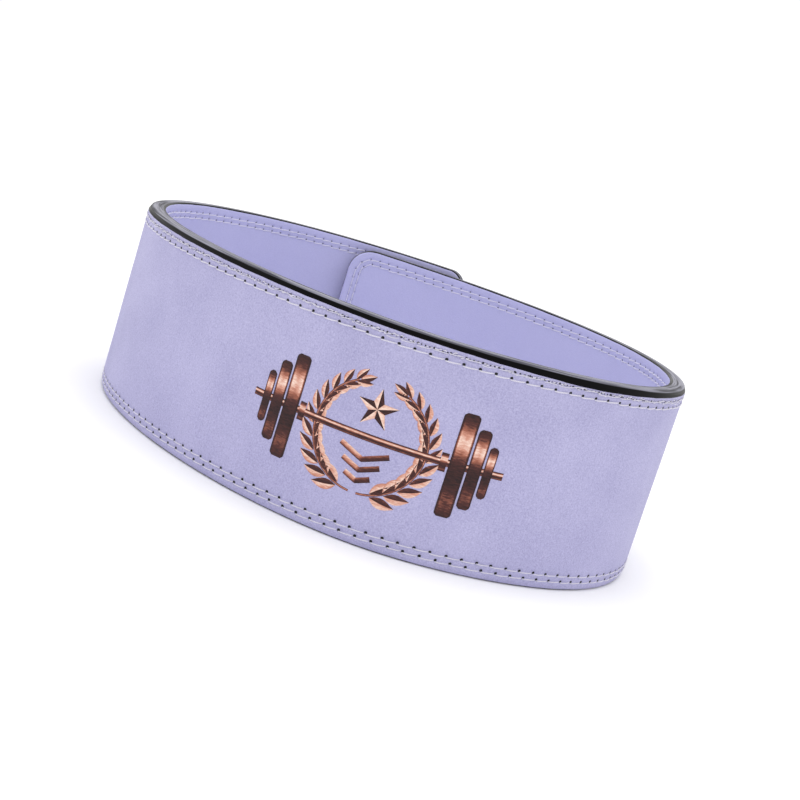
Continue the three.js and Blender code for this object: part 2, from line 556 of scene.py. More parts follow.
@dataclass(frozen=True)
class Surface:
    """What all plies and the things on them share: the bend, the outline, the rows and the unevenness.

    Attributes:
        path: How the strap is bent.
        outline: The strap's outline.
        near: The stitch row by the edge.
        far: The stitch row next to it.
        again: The second pass of the near row, along the upper edge of the outside.
        wave: Height of the leather's slow swell.
        groove_depth: How deep the thread has pulled a row into the leather.
        groove_width: Half width of that groove.
        swells: For each sine of the swell, its length along and up for one radian, phase and share.
        twice_from: Station at which the second pass begins, on the upper edge.
        twice_to: Station at which it ends.
        twice_fade: How fast it fades in and out there, for one station.
    """

    path: StrapPath
    outline: Outline
    near: StitchRow
    far: StitchRow
    again: StitchRow
    wave: float = 0.07
    groove_depth: float = 0.2
    groove_width: float = 0.65
    swells: tuple[tuple[float, float, float, float], ...] = (
        (19.0, 31.0, 0.0, 1.0),
        (11.3, -17.0, 2.0, 0.5),
        (53.0, 7.5, 0.0, 0.5),
    )
    twice_from: float = 7.01
    twice_to: float = 7.99
    twice_fade: float = 100.0

    def relief(self, length: np.ndarray, height: np.ndarray, inset: np.ndarray) -> np.ndarray:
        """How far the leather's face stands out: a slow swell, less a groove at each stitch row.

        The swell is three crossing sines with waves of 47 to 102 mm. It fades from full at 7.8 mm from
        the edge to nothing at 1.8 mm. A groove is exp(-(d / w)^2) deep at a distance d from its row.

        Args:
            length: Lengths from the inner tip.
            height: Heights from the lower edge.
            inset: Insets from the edge.

        Returns:
            Heights above the plain face, in millimetres.
        """
        swell = sum(share * np.sin(length / along + height / up + phase)
                    for along, up, phase, share in self.swells)
        grooves = sum(np.exp(-(((inset - row.inset) / self.groove_width) ** 2))
                      for row in (self.near, self.far))
        return self.wave * swell * np.clip(inset / 6 - 0.3, 0, 1) - self.groove_depth * grooves

    def sewn_again(self, station: np.ndarray) -> np.ndarray:
        """One along the upper edge, where the near row is sewn twice, fading out at its ends."""
        inside = np.minimum(station - self.twice_from, self.twice_to - station)
        return np.clip(inside * self.twice_fade, 0, 1)


@dataclass
class Ply:
    """One ply of the strap, as a closed skin.

    A ring of fine columns runs round the edge and takes in the stitch rows, and a coarser sheet fills
    the middle of each face.

    Attributes:
        name: The piece's name.
        node: The solid that it replaces.
        slot: The record's material slot.
        surface: What all plies share.
        section: The ply's cross-section at its edge.
        outward: 1 where the shown face looks outwards, -1 where it looks into the hollow.
        along: Cells of the middle sheet along the strap.
        across: Cells of the middle sheet across it.
        finer: Columns of the ring for each cell of the sheet's edge.
        bend_cells: Cells of the sheet's edge along half of a round corner.
    """

    name: str
    node: str
    slot: str
    surface: Surface
    section: PlySection
    outward: int = 1
    along: int = 300
    across: int = 30
    finer: int = 2
    bend_cells: int = 5

    def stations(self, finer: int) -> np.ndarray:
        """Even stations round the sheet's edge: each side of the outline has its own even step.

        A side goes from the middle of one corner to the middle of the next, and its corners' halves get
        a share of the columns that is wide enough to look round.

        Args:
            finer: Columns for each cell of the sheet.

        Returns:
            The stations, without the closing one.
        """
        sides = []
        for first, count in ((0, self.along), (3, self.across), (6, self.along), (9, self.across)):
            steps = np.arange(count * finer) / (count * finer)
            bend = self.bend_cells / count
            stops = [0.0, bend, 1 - bend, 1.0]
            sides.append(np.interp(steps, stops, [first, first + 1, first + 2, first + 3]))
        return np.concatenate(sides)

    def ring(self) -> tuple[MeshParts, np.ndarray]:
        """Works out the ring: rows of the section by columns round the outline.

        Returns:
            The ring's mesh, and the numbers of its points, rows by columns.
        """
        surface = self.surface
        station = np.append(self.stations(self.finer), LAST_STATION)[None, :]
        inset = np.array(self.section.insets)[:, None]
        depth = np.array(self.section.depths)[:, None]
        length, height = surface.outline.place(station, inset)
        shown = (np.arange(len(inset)) < self.section.shown)[:, None]
        relief = surface.relief(length, height, inset)
        points = surface.path.point(length, depth + np.where(shown, self.outward * relief, 0), height)
        rows, columns = points.shape[0], points.shape[1] - 1
        number = np.arange(rows * columns).reshape(rows, columns)
        open_faces = grid_faces(rows, columns + 1)
        maps = {}
        stitch_rows = {"near_row": surface.near, "far_row": surface.far, "again_row": surface.again}
        for key, row in stitch_rows.items():
            stitch = row.number(station) + 0 * inset
            pairs = np.stack([stitch, inset + 0 * station], axis=-1).reshape(-1, 2)
            maps[key] = [pairs[open_faces]]
        values = {
            "inset": (inset + 0 * station)[:, :-1],
            "height": height[:, :-1],
            "shown": (shown + 0.0 * station)[:, :-1],
            "sewn_again": (surface.sewn_again(station) + 0 * inset)[:, :-1],
        }
        parts = MeshParts(points[:, :-1].reshape(-1, 3), [grid_faces(rows, columns, closed=True)],
                          {key: part.ravel() for key, part in values.items()}, maps)
        return parts, number

    def sheet(self, inset: float, depth: float, shown: bool) -> tuple[np.ndarray, dict[str, np.ndarray]]:
        """Fills the middle of one face inside the ring.

        A place is the even mix of the two long sides, plus that of the two tips, less that of the four
        corners, so the sheet meets the ring on all sides.

        Args:
            inset: The ring's innermost inset.
            depth: The face's depth.
            shown: Whether this is the shown face.

        Returns:
            The points, across by along by three, and the values that each carries.
        """
        along, across = self.along, self.across
        station = np.append(self.stations(1), LAST_STATION)
        edge = np.stack(self.surface.outline.place(station, np.array(inset)), axis=-1)
        low, tip, high, root = (
            edge[: along + 1],
            edge[along : along + across + 1],
            edge[along + across : 2 * along + across + 1][::-1],
            edge[2 * along + across :][::-1],
        )
        u = np.linspace(0, 1, along + 1)[None, :, None]
        v = np.linspace(0, 1, across + 1)[:, None, None]
        flat = (1 - v) * low[None] + v * high[None] + (1 - u) * root[:, None] + u * tip[:, None]
        flat = flat - (1 - u) * ((1 - v) * low[0] + v * high[0]) - u * ((1 - v) * low[-1] + v * high[-1])
        length, height = flat[..., 0], flat[..., 1]
        away = np.minimum(height, self.surface.outline.width - height)
        ends = np.minimum(length, self.surface.outline.length - length)
        away = np.maximum(np.minimum(away, ends), inset)
        relief = self.outward * self.surface.relief(length, height, away) if shown else 0
        points = self.surface.path.point(length, depth + relief, height)
        values = {"inset": away, "height": height, "shown": np.full_like(away, shown),
                  "sewn_again": 0 * away}
        return points, values

    def join(self, ring_row: np.ndarray, edge: np.ndarray) -> np.ndarray:
        """Joins a row of the ring to the coarser edge of a sheet, with a fan for each coarse step.

        Args:
            ring_row: Numbers of the ring row's points.
            edge: Numbers of the sheet's edge points, in the same order.

        Returns:
            Triangles.
        """
        finer = len(ring_row) // len(edge)
        ring = ring_row.reshape(len(edge), finer)
        chain = np.concatenate([ring, np.roll(ring[:, 0], -1)[:, None]], axis=1)
        half = (finer + 1) // 2
        first = np.stack([chain[:, :half], chain[:, 1 : half + 1],
                          np.repeat(edge[:, None], half, 1)], axis=-1)
        rest = np.stack([chain[:, half:-1], chain[:, half + 1 :],
                         np.repeat(np.roll(edge, -1)[:, None], finer - half, 1)], axis=-1)
        middle = np.stack([chain[:, half], np.roll(edge, -1), edge], axis=-1)
        return np.concatenate([first.reshape(-1, 3), rest.reshape(-1, 3), middle])

    def sheet_edge(self, first: int) -> np.ndarray:
        """Numbers of a sheet's edge points, in the order of the outline."""
        rows, columns = self.across + 1, self.along + 1
        return grid_rim(first + np.arange(rows * columns).reshape(rows, columns))

    def build(self, material: bpy.types.Material) -> bpy.types.Object:
        """Builds the ply as one closed skin and dresses it.

        Args:
            material: The ply's material.

        Returns:
            The piece.
        """
        ring, number = self.ring()
        insets, depths = self.section.insets, self.section.depths
        sheets = [self.sheet(insets[0], depths[0], True), self.sheet(insets[-1], depths[-1], False)]
        size = sheets[0][0].shape[0] * sheets[0][0].shape[1]
        for index, (row, (points, values)) in enumerate(zip((number[0], number[-1]), sheets)):
            first = number.size + index * size
            fan = self.join(row, self.sheet_edge(first))
            cells = grid_faces(points.shape[0], points.shape[1], first)
            ring.faces += [fan, cells] if index else [fan[:, ::-1], cells[:, ::-1]]
            ring.points = np.concatenate([ring.points, points.reshape(-1, 3)])
            ring.values = {key: np.concatenate([part, values[key].ravel()])
                           for key, part in ring.values.items()}
        for parts in ring.maps.values():
            parts += [np.full((*face.shape, 2), 50.0) for face in ring.faces[1:]]
        piece = ring.outward().to_object(self.name, material)
        piece_of(piece, self.slot, self.node)
        return piece


@dataclass(frozen=True)
class EdgeShape:
    """The shape of the strap's cut edge, across its thickness.

    On the outside it has two bevels, a gentle one next to the flat and a steep one next to the face.
    In the hollow it is rounded.

    Attributes:
        thickness: The strap's thickness.
        outer_shoulder: Height and depth of both bevels together.
        gentle_drop: How far the edge has dropped where the two bevels meet.
        steep_depth: How far below the face they meet.
        corner: How far from a bevel's corner its rounding starts.
        inner_shoulder: Radius of the rounded edge on the hollow's side.
        face_strip: How much of the face above the bevels the profile takes in.
        bend_points: Points on each of the three corners of the bevels.
        round_points: Points on the rounded edge on the hollow's side.
        samples: Places along the profile at which its normal is worked out.
    """

    thickness: float
    outer_shoulder: float = 2.8
    gentle_drop: float = 0.6
    steep_depth: float = 1.07
    corner: float = 0.22
    inner_shoulder: float = 1.3
    face_strip: float = 1.5
    bend_points: int = 4
    round_points: int = 6
    samples: int = 160

    @property
    def flat_depth(self) -> float:
        """Depth at which the flat ends and the gentle bevel begins."""
        return self.thickness - self.outer_shoulder

    @property
    def flat_start(self) -> int:
        """Number of the profile's point at which the flat begins. At the next one it ends."""
        return 3 * self.bend_points

    @cached_property
    def profile(self) -> np.ndarray:
        """Inset and depth of points along the edge, from the face round to the hollow.

        A bevel's corner b is rounded by (1 - t)^2 a + 2 t (1 - t) b + t^2 c, between a point a before it
        and a point c after it.
        """
        face, flat = self.thickness, self.flat_depth
        corners = np.array([
            (self.outer_shoulder + self.face_strip, face),
            (self.outer_shoulder, face),
            (self.gentle_drop, face - self.steep_depth),
            (0, flat),
            (0, flat - 1),
        ])
        t = np.linspace(0, 1, self.bend_points)[:, None]
        stretches = []
        for before, corner, after in zip(corners, corners[1:], corners[2:]):
            first = corner + (before - corner) / np.linalg.norm(before - corner) * self.corner
            last = corner + (after - corner) / np.linalg.norm(after - corner) * self.corner
            stretches.append((1 - t) ** 2 * first + 2 * t * (1 - t) * corner + t**2 * last)
        angle = np.linspace(0, math.pi / 2, self.round_points)
        rounded = np.stack([1 - np.cos(angle), 1 - np.sin(angle)], axis=-1) * self.inner_shoulder
        return np.concatenate([corners[:1], *stretches, rounded])

    @cached_property
    def walked(self) -> np.ndarray:
        """Lengths walked along the profile up to each of its points."""
        return np.concatenate([[0.0], np.cumsum(np.linalg.norm(np.diff(self.profile, axis=0), axis=1))])

    @cached_property
    def stops(self) -> tuple[float, float, float]:
        """Lengths walked to where the bevels meet, to where the flat begins and to where it ends."""
        middle, start = self.flat_start // 2, self.flat_start
        meeting = (self.walked[middle] + self.walked[middle + 1]) / 2
        return float(meeting), float(self.walked[start]), float(self.walked[start + 1])

    def inset(self, depth: np.ndarray) -> np.ndarray:
        """How far the edge is drawn in at depths from the hollow."""
        return np.interp(depth, self.profile[::-1, 1], self.profile[::-1, 0])

    def between(self, low: float, high: float) -> np.ndarray:
        """The profile's points between two depths, from the deeper in the hollow's sense outwards."""
        inside = (self.profile[:, 1] > low) & (self.profile[:, 1] < high)
        return self.profile[inside][::-1]

    def at(self, walked: np.ndarray) -> tuple[np.ndarray, np.ndarray]:
        """Gives places and outward normals along the profile.

        The normal is the tangent turned by a right angle, on evenly spaced places so that it turns
        evenly at corners.

        Args:
            walked: Lengths walked along the profile.

        Returns:
            Insets and depths of the places, and of the normals, in the last axis.
        """
        even = np.linspace(0, self.walked[-1], self.samples)
        places = np.stack([np.interp(even, self.walked, self.profile[:, i]) for i in (0, 1)], axis=-1)
        tangent = np.gradient(places, axis=0)
        normal = np.stack([tangent[:, 1], -tangent[:, 0]], axis=-1)
        normal = normal / np.linalg.norm(normal, axis=1, keepdims=True)
        place = np.stack([np.interp(walked, self.walked, self.profile[:, i]) for i in (0, 1)], axis=-1)
        return place, np.stack([np.interp(walked, even, normal[:, i]) for i in (0, 1)], axis=-1)


@dataclass(frozen=True)
class Strap:
    """The strap's three plies.

    Attributes:
        surface: What all plies share.
        edge: The shape of the cut edge.
        lining_seam: Depth of the glue line between the lining and the middle ply.
        face_seam: Depth of the glue line between the middle and the outer ply.
        seam_gap: Width of a glue line.
        seam_bevel: How far a ply's corner is worn off at a glue line.
        ring_inset: How far in from the edge the fine ring reaches.
    """

    surface: Surface
    edge: EdgeShape
    lining_seam: float = 2.15
    face_seam: float = 6.85
    seam_gap: float = 0.04
    seam_bevel: float = 0.14
    ring_inset: float = 9.3

    def face_insets(self) -> list[float]:
        """Insets of the rows on a shown face: close together at the stitch rows."""
        near, far = self.surface.near.inset, self.surface.far.inset
        around = [-0.9, -0.5, -0.2, 0.1, 0.4, 0.8]
        rows = [self.ring_inset] + [far - step for step in around] + [(near + far) / 2]
        return rows + [near - step for step in around]

    def outer_section(self) -> PlySection:
        """The outer ply's section, from its face over the bevelled shoulder to the glue line."""
        low = self.face_seam + self.seam_gap / 2
        face = self.face_insets()
        bevels = self.edge.between(low + self.seam_bevel, self.edge.thickness)[::-1]
        corner = low + self.seam_bevel
        insets = [*face, self.edge.outer_shoulder + self.edge.corner, *bevels[:, 0],
                  float(self.edge.inset(corner)), float(self.edge.inset(low)) + self.seam_bevel,
                  self.ring_inset]
        depths = [*[self.edge.thickness] * (len(face) + 1), *bevels[:, 1], corner, low, low]
        return PlySection(tuple(insets), tuple(depths), len(face) + 1)

    def middle_section(self) -> PlySection:
        """The middle ply's section: its plain edge between the two glue lines."""
        low = self.lining_seam + self.seam_gap / 2
        high = self.face_seam - self.seam_gap / 2
        bevels = self.edge.between(low + self.seam_bevel, high - self.seam_bevel)[::-1]
        flat = np.array([high - self.seam_bevel, *bevels[:, 1], low + 2, low + self.seam_bevel])
        insets = [self.ring_inset, float(self.edge.inset(high)) + self.seam_bevel,
                  *self.edge.inset(flat), self.seam_bevel, self.ring_inset]
        return PlySection(tuple(insets), (high, high, *flat, low, low), 0)

    def lining_section(self) -> PlySection:
        """The lining's section, from its face in the hollow over the small shoulder to the glue line."""
        high = self.lining_seam - self.seam_gap / 2
        face = self.face_insets() + [2.4]
        rounded = self.edge.profile[: -self.edge.round_points - 1 : -1]
        insets = [*face, *rounded[:, 0], 0.0, self.seam_bevel, self.ring_inset]
        depths = [*[0.0] * len(face), *rounded[:, 1], high - self.seam_bevel, high, high]
        return PlySection(tuple(insets), tuple(depths), len(face) + 1)

    def build(self, face: bpy.types.Material, lining: bpy.types.Material,
              core: bpy.types.Material) -> list[bpy.types.Object]:
        """Builds the three plies.

        Args:
            face: Material of the outer ply.
            lining: Material of the lining.
            core: Material of the middle ply, which the edge paint covers.

        Returns:
            The three pieces.
        """
        surface = self.surface
        outer = Ply("outer_ply", "face_leather", "leather", surface, self.outer_section())
        middle = Ply("middle_ply", "core_leather", "edge_paint", surface, self.middle_section(), finer=1)
        inner = Ply("lining_ply", "lining_leather", "leather", surface, self.lining_section(), outward=-1)
        return [outer.build(face), middle.build(core), inner.build(lining)]


@dataclass(frozen=True)
class PaintedEdge:
    """The coat of black paint on the cut edge: a thin skin over all three plies.

    Attributes:
        surface: What all plies share.
        edge: The shape of the cut edge.
        coat: How far the paint stands off the leather.
        buried: How far the skin's back lies inside the leather.
        upper_reach: How far the paint reaches over the outer shoulder, along the upper edge.
        broader: How much further it reaches where its stripe is broadest, to the right of the front.
        broadest: Length from the inner tip to that place.
        broad_length: The length over which the stripe narrows again.
        lower_reach: How far the paint reaches along the lower edge.
        hollow_reach: How far it reaches over the inner shoulder.
        tip_reach: The same round the inner tip.
        wander: How far the painted line wanders.
        ridge: Height of the brush ridges along the flat of the edge.
        ridge_pitch: Distance between them.
        seam_dip: How deep the glue lines show through.
        seams: Depths of the glue lines.
        columns: Columns round the outline.
        bevel_rows: Rows of points over the bevels.
        flat_rows: Rows of points over the flat.
        round_rows: Rows of points over the inner shoulder.
        corner_columns: Columns on each half of a round corner.
        ridge_fade: Length over which the ridges fade in and out.
        rim_sink: How far the skin's rims lie below the leather's face.
        seam_width: Half width of a glue line's dip.
        reflection_over: How far the painted reflection's grey reaches past the meeting of the bevels.
        reflection_short: How far short of the inner shoulder it ends.
        reflection_fade: Length over which it fades.
    """

    surface: Surface
    edge: EdgeShape
    seams: tuple[float, float]
    coat: float = 0.04
    buried: float = 0.35
    upper_reach: float = 2.85
    broader: float = 1.0
    broadest: float = 405.0
    broad_length: float = 42.0
    lower_reach: float = 0.5
    hollow_reach: float = 0.75
    tip_reach: float = 0.06
    wander: float = 0.09
    ridge: float = 0.012
    ridge_pitch: float = 1.5
    seam_dip: float = 0.09
    columns: int = 1100
    bevel_rows: int = 20
    flat_rows: int = 34
    round_rows: int = 6
    corner_columns: int = 14
    ridge_fade: float = 0.4
    rim_sink: float = 0.03
    seam_width: float = 0.09
    reflection_over: float = 0.1
    reflection_short: float = 0.4
    reflection_fade: float = 0.2

    def stations(self) -> np.ndarray:
        """Stations round the outline, evenly apart along the cut edge but closer at the corners."""
        lengths = self.surface.outline.walked(0.0)
        even = np.linspace(0, lengths[-1], self.columns + 1)
        bends = (0, 2, 3, 5, 6, 8, 9, 11)
        corners = np.concatenate([np.linspace(bend, bend + 1, self.corner_columns) for bend in bends])
        return np.unique(np.concatenate([self.surface.outline.station(even[:-1], 0.0), corners]))

    def reach(self, station: np.ndarray) -> tuple[np.ndarray, np.ndarray]:
        """How far the paint reaches on the outside and in the hollow, all round.

        On the outside it goes from the lower to the upper reach with a smooth step of the height. At the
        top it gains exp(-d^2) at a distance d from its broadest place. In the hollow it fades to the
        tip's reach round the inner tip. Both lines wander by crossing sines.

        Args:
            station: Stations round the outline.

        Returns:
            The insets of the two painted lines.
        """
        length, height = self.surface.outline.place(station, np.array(0.0))
        share = np.clip((height / self.surface.outline.width - 0.3) / 0.6, 0, 1)
        share = share**2 * (3 - 2 * share)
        broad = np.exp(-(((length - self.broadest) / self.broad_length) ** 2))
        upper = self.upper_reach + self.broader * broad
        outside = self.lower_reach + (upper - self.lower_reach) * share
        inner_tip = LAST_STATION - 3
        away = np.minimum(np.abs(station - inner_tip), np.abs(station - LAST_STATION))
        beside = np.where(station > inner_tip, 1.0, 0.0) + np.clip(1 - away * 1.2, 0, 1)
        beside = np.clip(beside, 0, 1)
        hollow = self.hollow_reach + (self.tip_reach - self.hollow_reach) * beside
        walked = self.surface.outline.along(station, 0.0)
        waves = np.sin(walked / 2.9) + np.sin(walked / 7.3 + 1) + np.sin(walked / 1.3 + 2) * 0.5
        return outside + self.wander * waves * 0.5, hollow + self.wander * waves[::-1] * 0.2

    def build(self, material: bpy.types.Material) -> bpy.types.Object:
        """Builds the skin: a front that follows the edge's shape, and a back inside the leather.

        The front's rows go from the painted line over the bevels, across the flat with its ridges and
        over the inner shoulder. A ridge is a cosine of the depth, a glue line a narrow dip. From the
        meeting of the bevels to the end of the flat the paint is coloured grey: a painted reflection of
        the bright surroundings, which the flat mirrors at a low angle.

        Args:
            material: The paint.

        Returns:
            The piece.
        """
        station = self.stations()[None, :]
        outside, hollow = (reach[None, :] for reach in self.reach(station[0]))
        meeting, flat, rounding = self.edge.stops
        profile, lengths = self.edge.profile, self.edge.walked
        first = self.edge.flat_start
        start = np.interp(outside, profile[first::-1, 0], lengths[first::-1])
        stop = np.interp(hollow, profile[first + 1 :, 0], lengths[first + 1 :])
        walked = np.concatenate([
            start + (flat - start) * np.linspace(0, 1, self.bevel_rows)[:, None],
            flat + (rounding - flat) * np.linspace(0, 1, self.flat_rows + 2)[1:-1, None] + 0 * station,
            rounding + (stop - rounding) * np.linspace(0, 1, self.round_rows)[:, None],
        ])
        place, normal = self.edge.at(walked)
        ridged = np.clip(np.minimum(walked - meeting, rounding - walked) / self.ridge_fade, 0, 1)
        lift = self.coat + self.ridge * ridged * np.cos(2 * math.pi * walked / self.ridge_pitch)
        lift[0] = lift[-1] = -self.rim_sink
        for seam in self.seams:
            lift -= self.seam_dip * np.exp(-(((place[..., 1] - seam) / self.seam_width) ** 2))
        # Painted reflection: from just past the meeting of the bevels to near the end of the flat the paint
        # is coloured grey, standing in for the bright surroundings that the flat mirrors.
        flat_reflection = np.minimum(walked - meeting + self.reflection_over, rounding - walked - self.reflection_short)
        worn = np.clip(flat_reflection / self.reflection_fade, 0, 1)
        front = place + lift[..., None] * normal
        back = np.array([-1, -self.round_rows, self.bevel_rows, self.bevel_rows // 2, 0])
        section = np.concatenate([front, place[back] - self.buried * normal[back]])
        worn = np.concatenate([worn, worn[back]])
        length, height = self.surface.outline.place(station, section[..., 0])
        points = self.surface.path.point(length, section[..., 1], height)
        rows, columns = points.shape[:2]
        faces = grid_faces(rows + 1, columns, closed=True) % (rows * columns)
        along = self.surface.outline.along(np.append(station[0], LAST_STATION), 0.0)
        across = np.concatenate([walked, walked[back], walked[:1]])
        across = np.concatenate([across, across[:, :1]], axis=1)
        pairs = np.stack([along[None, :] + 0 * across, across], axis=-1).reshape(-1, 2) * METRES
        maps = {"strap": [pairs[grid_faces(rows + 1, columns + 1)]]}
        parts = MeshParts(points.reshape(-1, 3), [faces], {"worn": worn.ravel()}, maps)
        piece = parts.outward().to_object("painted_edge", material, sharp_angle=75)
        piece_of(piece, "edge_paint")
        return piece


@dataclass(frozen=True)
class StitchShape:
    """How a stitch lies between two needle holes.

    Attributes:
        begin: How far past its first hole's middle it begins, along the row.
        stop: How far short of the next hole's middle it ends.
        drop: How far below the row it begins.
        climb: How much higher it ends than it begins.
        sag: How far its middle hangs below the line between its ends.
        girth: How thick it looks, as a share of the thread.
    """

    begin: float
    stop: float
    drop: float
    climb: float
    sag: float
    girth: float


@dataclass(frozen=True)
class Stitching:
    """The thread on one face of the strap.

    Attributes:
        name: The piece's name.
        surface: What all plies share.
        side: The face that it shows on.
        shapes: How stitches lie along the lower and along the upper edge.
        crossing: How the short bits of thread of the second pass lie.
        thread_radius: Half of the thread's width.
        thread_height: Half of its height, where it is pressed flat.
        crown: How far its middle lies off the face.
        plunge: How far its ends go in.
        rings: Rings of points along a stitch.
        sides: Points round it.
        seed: Seed of the small differences between stitches.
        first_pass: Size and stray of the near row's stitches, where it is sewn twice.
        second_pass: The same for the bits of thread that cross them.
        map_length: Length of a stitch on the thread's own map.
    """

    name: str
    surface: Surface
    side: Side
    shapes: tuple[StitchShape, StitchShape] = (
        StitchShape(-0.35, 0.6, 0.65, 0.3, 0.15, 1.0),
        StitchShape(-0.6, 0.6, 0.8, 0.55, 0.1, 1.25),
    )
    crossing: StitchShape = StitchShape(0.1, 0.3, 0.1, 0.1, 0.0, 1.0)
    thread_radius: float = 0.29
    thread_height: float = 0.28
    crown: float = 0.08
    plunge: float = 0.5
    rings: int = 8
    sides: int = 6
    seed: int = 3
    first_pass: tuple[float, float] = (0.6, 0.25)
    second_pass: tuple[float, float] = (1.0, 0.3)
    map_length: float = 6.0

    def row_points(self, row: StitchRow, numbers: np.ndarray, shapes: tuple[StitchShape, StitchShape],
                   size: float = 1.0, stray: float = 0.07) -> np.ndarray:
        """Works out the tubes of one row's stitches.

        Along a stitch t goes from 0 to 1, from left to right as seen from its own face's front. It lies
        below its row by the drop, less the climb times t, plus the sag times 4 t (1 - t). It stands off
        the face by the crown, less the plunge's share (2 t - 1)^8.

        Args:
            row: The row.
            numbers: Numbers of the holes that its stitches start from.
            shapes: How they lie along the lower and along the upper edge.
            size: Their thickness, as a share of the thread's.
            stray: How much they differ.

        Returns:
            Points, stitches by rings by sides by three.
        """
        chance = np.random.default_rng(self.seed + len(numbers))
        differ = chance.normal(0, stray, (5, len(numbers)))[:, :, None, None]
        t = (0.5 - 0.5 * np.cos(np.linspace(0, math.pi, self.rings)))[None, :, None]
        around = (2 * math.pi * np.arange(self.sides) / self.sides)[None, None, :]
        start = numbers[:, None, None]
        rise = self.surface.outline.upward(row.station(start + 0.5))
        share = (rise + 1) / 2
        begin, stop, drop, climb, sag, girth = (
            getattr(shapes[0], part) * (1 - share) + getattr(shapes[1], part) * share
            for part in ("begin", "stop", "drop", "climb", "sag", "girth")
        )
        pitch = row.total / row.count
        first = (begin + differ[0]) / pitch
        last = 1 - (stop + differ[1]) / pitch
        reach = first + (last - first) * t
        forward = (rise > -0.5) == (self.side is Side.OUTSIDE)
        station = row.station(start + np.where(forward, reach, 1 - reach))
        below = drop + differ[2] - (climb + differ[3]) * t + (sag + differ[4]) * 4 * t * (1 - t)
        narrow = size * girth * (1 - 0.25 * (2 * t - 1) ** 4)
        inset = row.inset + below * rise + self.thread_radius * narrow * np.cos(around)
        away = self.crown - (self.crown + self.plunge) * (2 * t - 1) ** 8
        away = away + self.thread_height * narrow * np.sin(around)
        base, outward = (self.surface.path.thickness, 1) if self.side is Side.OUTSIDE else (0.0, -1)
        length, height = self.surface.outline.place(station, inset)
        return self.surface.path.point(length, base + outward * away, height)

    def build(self, material: bpy.types.Material) -> bpy.types.Object:
        """Builds every stitch of the face in one mesh of short closed tubes.

        Args:
            material: The thread's material.

        Returns:
            The piece.
        """
        surface = self.surface
        near, far, again = surface.near, surface.far, surface.again
        tubes = [self.row_points(far, np.arange(far.count), self.shapes)]
        near_numbers = np.arange(near.count)
        if self.side is Side.OUTSIDE:
            twice = surface.sewn_again(near.station(near_numbers + 0.5)) >= 1
            tubes.append(self.row_points(near, near_numbers[twice], self.shapes, *self.first_pass))
            numbers = np.arange(again.count)
            numbers = numbers[surface.sewn_again(again.station(numbers + 0.5)) >= 1]
            crossings = (self.crossing, self.crossing)
            tubes.append(self.row_points(again, numbers, crossings, *self.second_pass))
            near_numbers = near_numbers[~twice]
        tubes.append(self.row_points(near, near_numbers, self.shapes))
        points = np.concatenate(tubes)
        count, each = len(points), self.rings * self.sides
        offsets = (np.arange(count) * each)[:, None, None]
        walls = (grid_faces(self.rings, self.sides, closed=True)[None] + offsets).reshape(-1, 4)
        ends = np.stack([np.arange(self.sides)[::-1], each - self.sides + np.arange(self.sides)])
        caps = (ends[None] + offsets).reshape(-1, self.sides)
        parts = MeshParts(points.reshape(-1, 3), [walls, caps], {}, self.maps(count))
        piece = parts.outward().to_object(self.name, material, sharp_angle=80)
        piece_of(piece, "thread")
        return piece

    def maps(self, count: int) -> dict[str, list[np.ndarray]]:
        """The thread's own map: metres along a stitch, and metres round it.

        Args:
            count: How many stitches there are.

        Returns:
            The map, for the walls and for the end caps.
        """
        along = np.linspace(0, self.map_length, self.rings)[:, None] + 0 * np.arange(self.sides + 1)
        girth = np.linspace(0, 2 * math.pi * self.thread_radius, self.sides + 1)
        pairs = np.stack([along, girth + 0 * along], axis=-1).reshape(-1, 2) * METRES
        walls = np.tile(pairs[grid_faces(self.rings, self.sides + 1)], (count, 1, 1))
        return {"thread": [walls, np.zeros((2 * count, self.sides, 2))]}


@dataclass
class Ribbon:
    """One shape of the print: a line with a width, and shades across it.

    Attributes:
        line: Points of its middle line, to the right and up from the print's middle.
        half_width: Half its width at each point.
        across: Where its lengthwise rows lie, from -1 on the right of the line to 1 on its left.
        shades: Shade of each row, or of each row at each point of the line, from 0 dark to 1 pale.
        lift: How far its film stands off the leather.
    """

    line: np.ndarray
    half_width: np.ndarray
    across: tuple[float, ...]
    shades: np.ndarray
    lift: float = 0.07

    def grid(self) -> np.ndarray:
        """Places of its points, along by across by two: the line plus its normal times the width."""
        tangent = np.gradient(self.line, axis=0)
        tangent = tangent / np.linalg.norm(tangent, axis=1, keepdims=True)
        normal = np.stack([-tangent[:, 1], tangent[:, 0]], axis=-1)
        reach = self.half_width[:, None] * np.array(self.across)[None, :]
        return self.line[:, None, :] + normal[:, None, :] * reach[..., None]


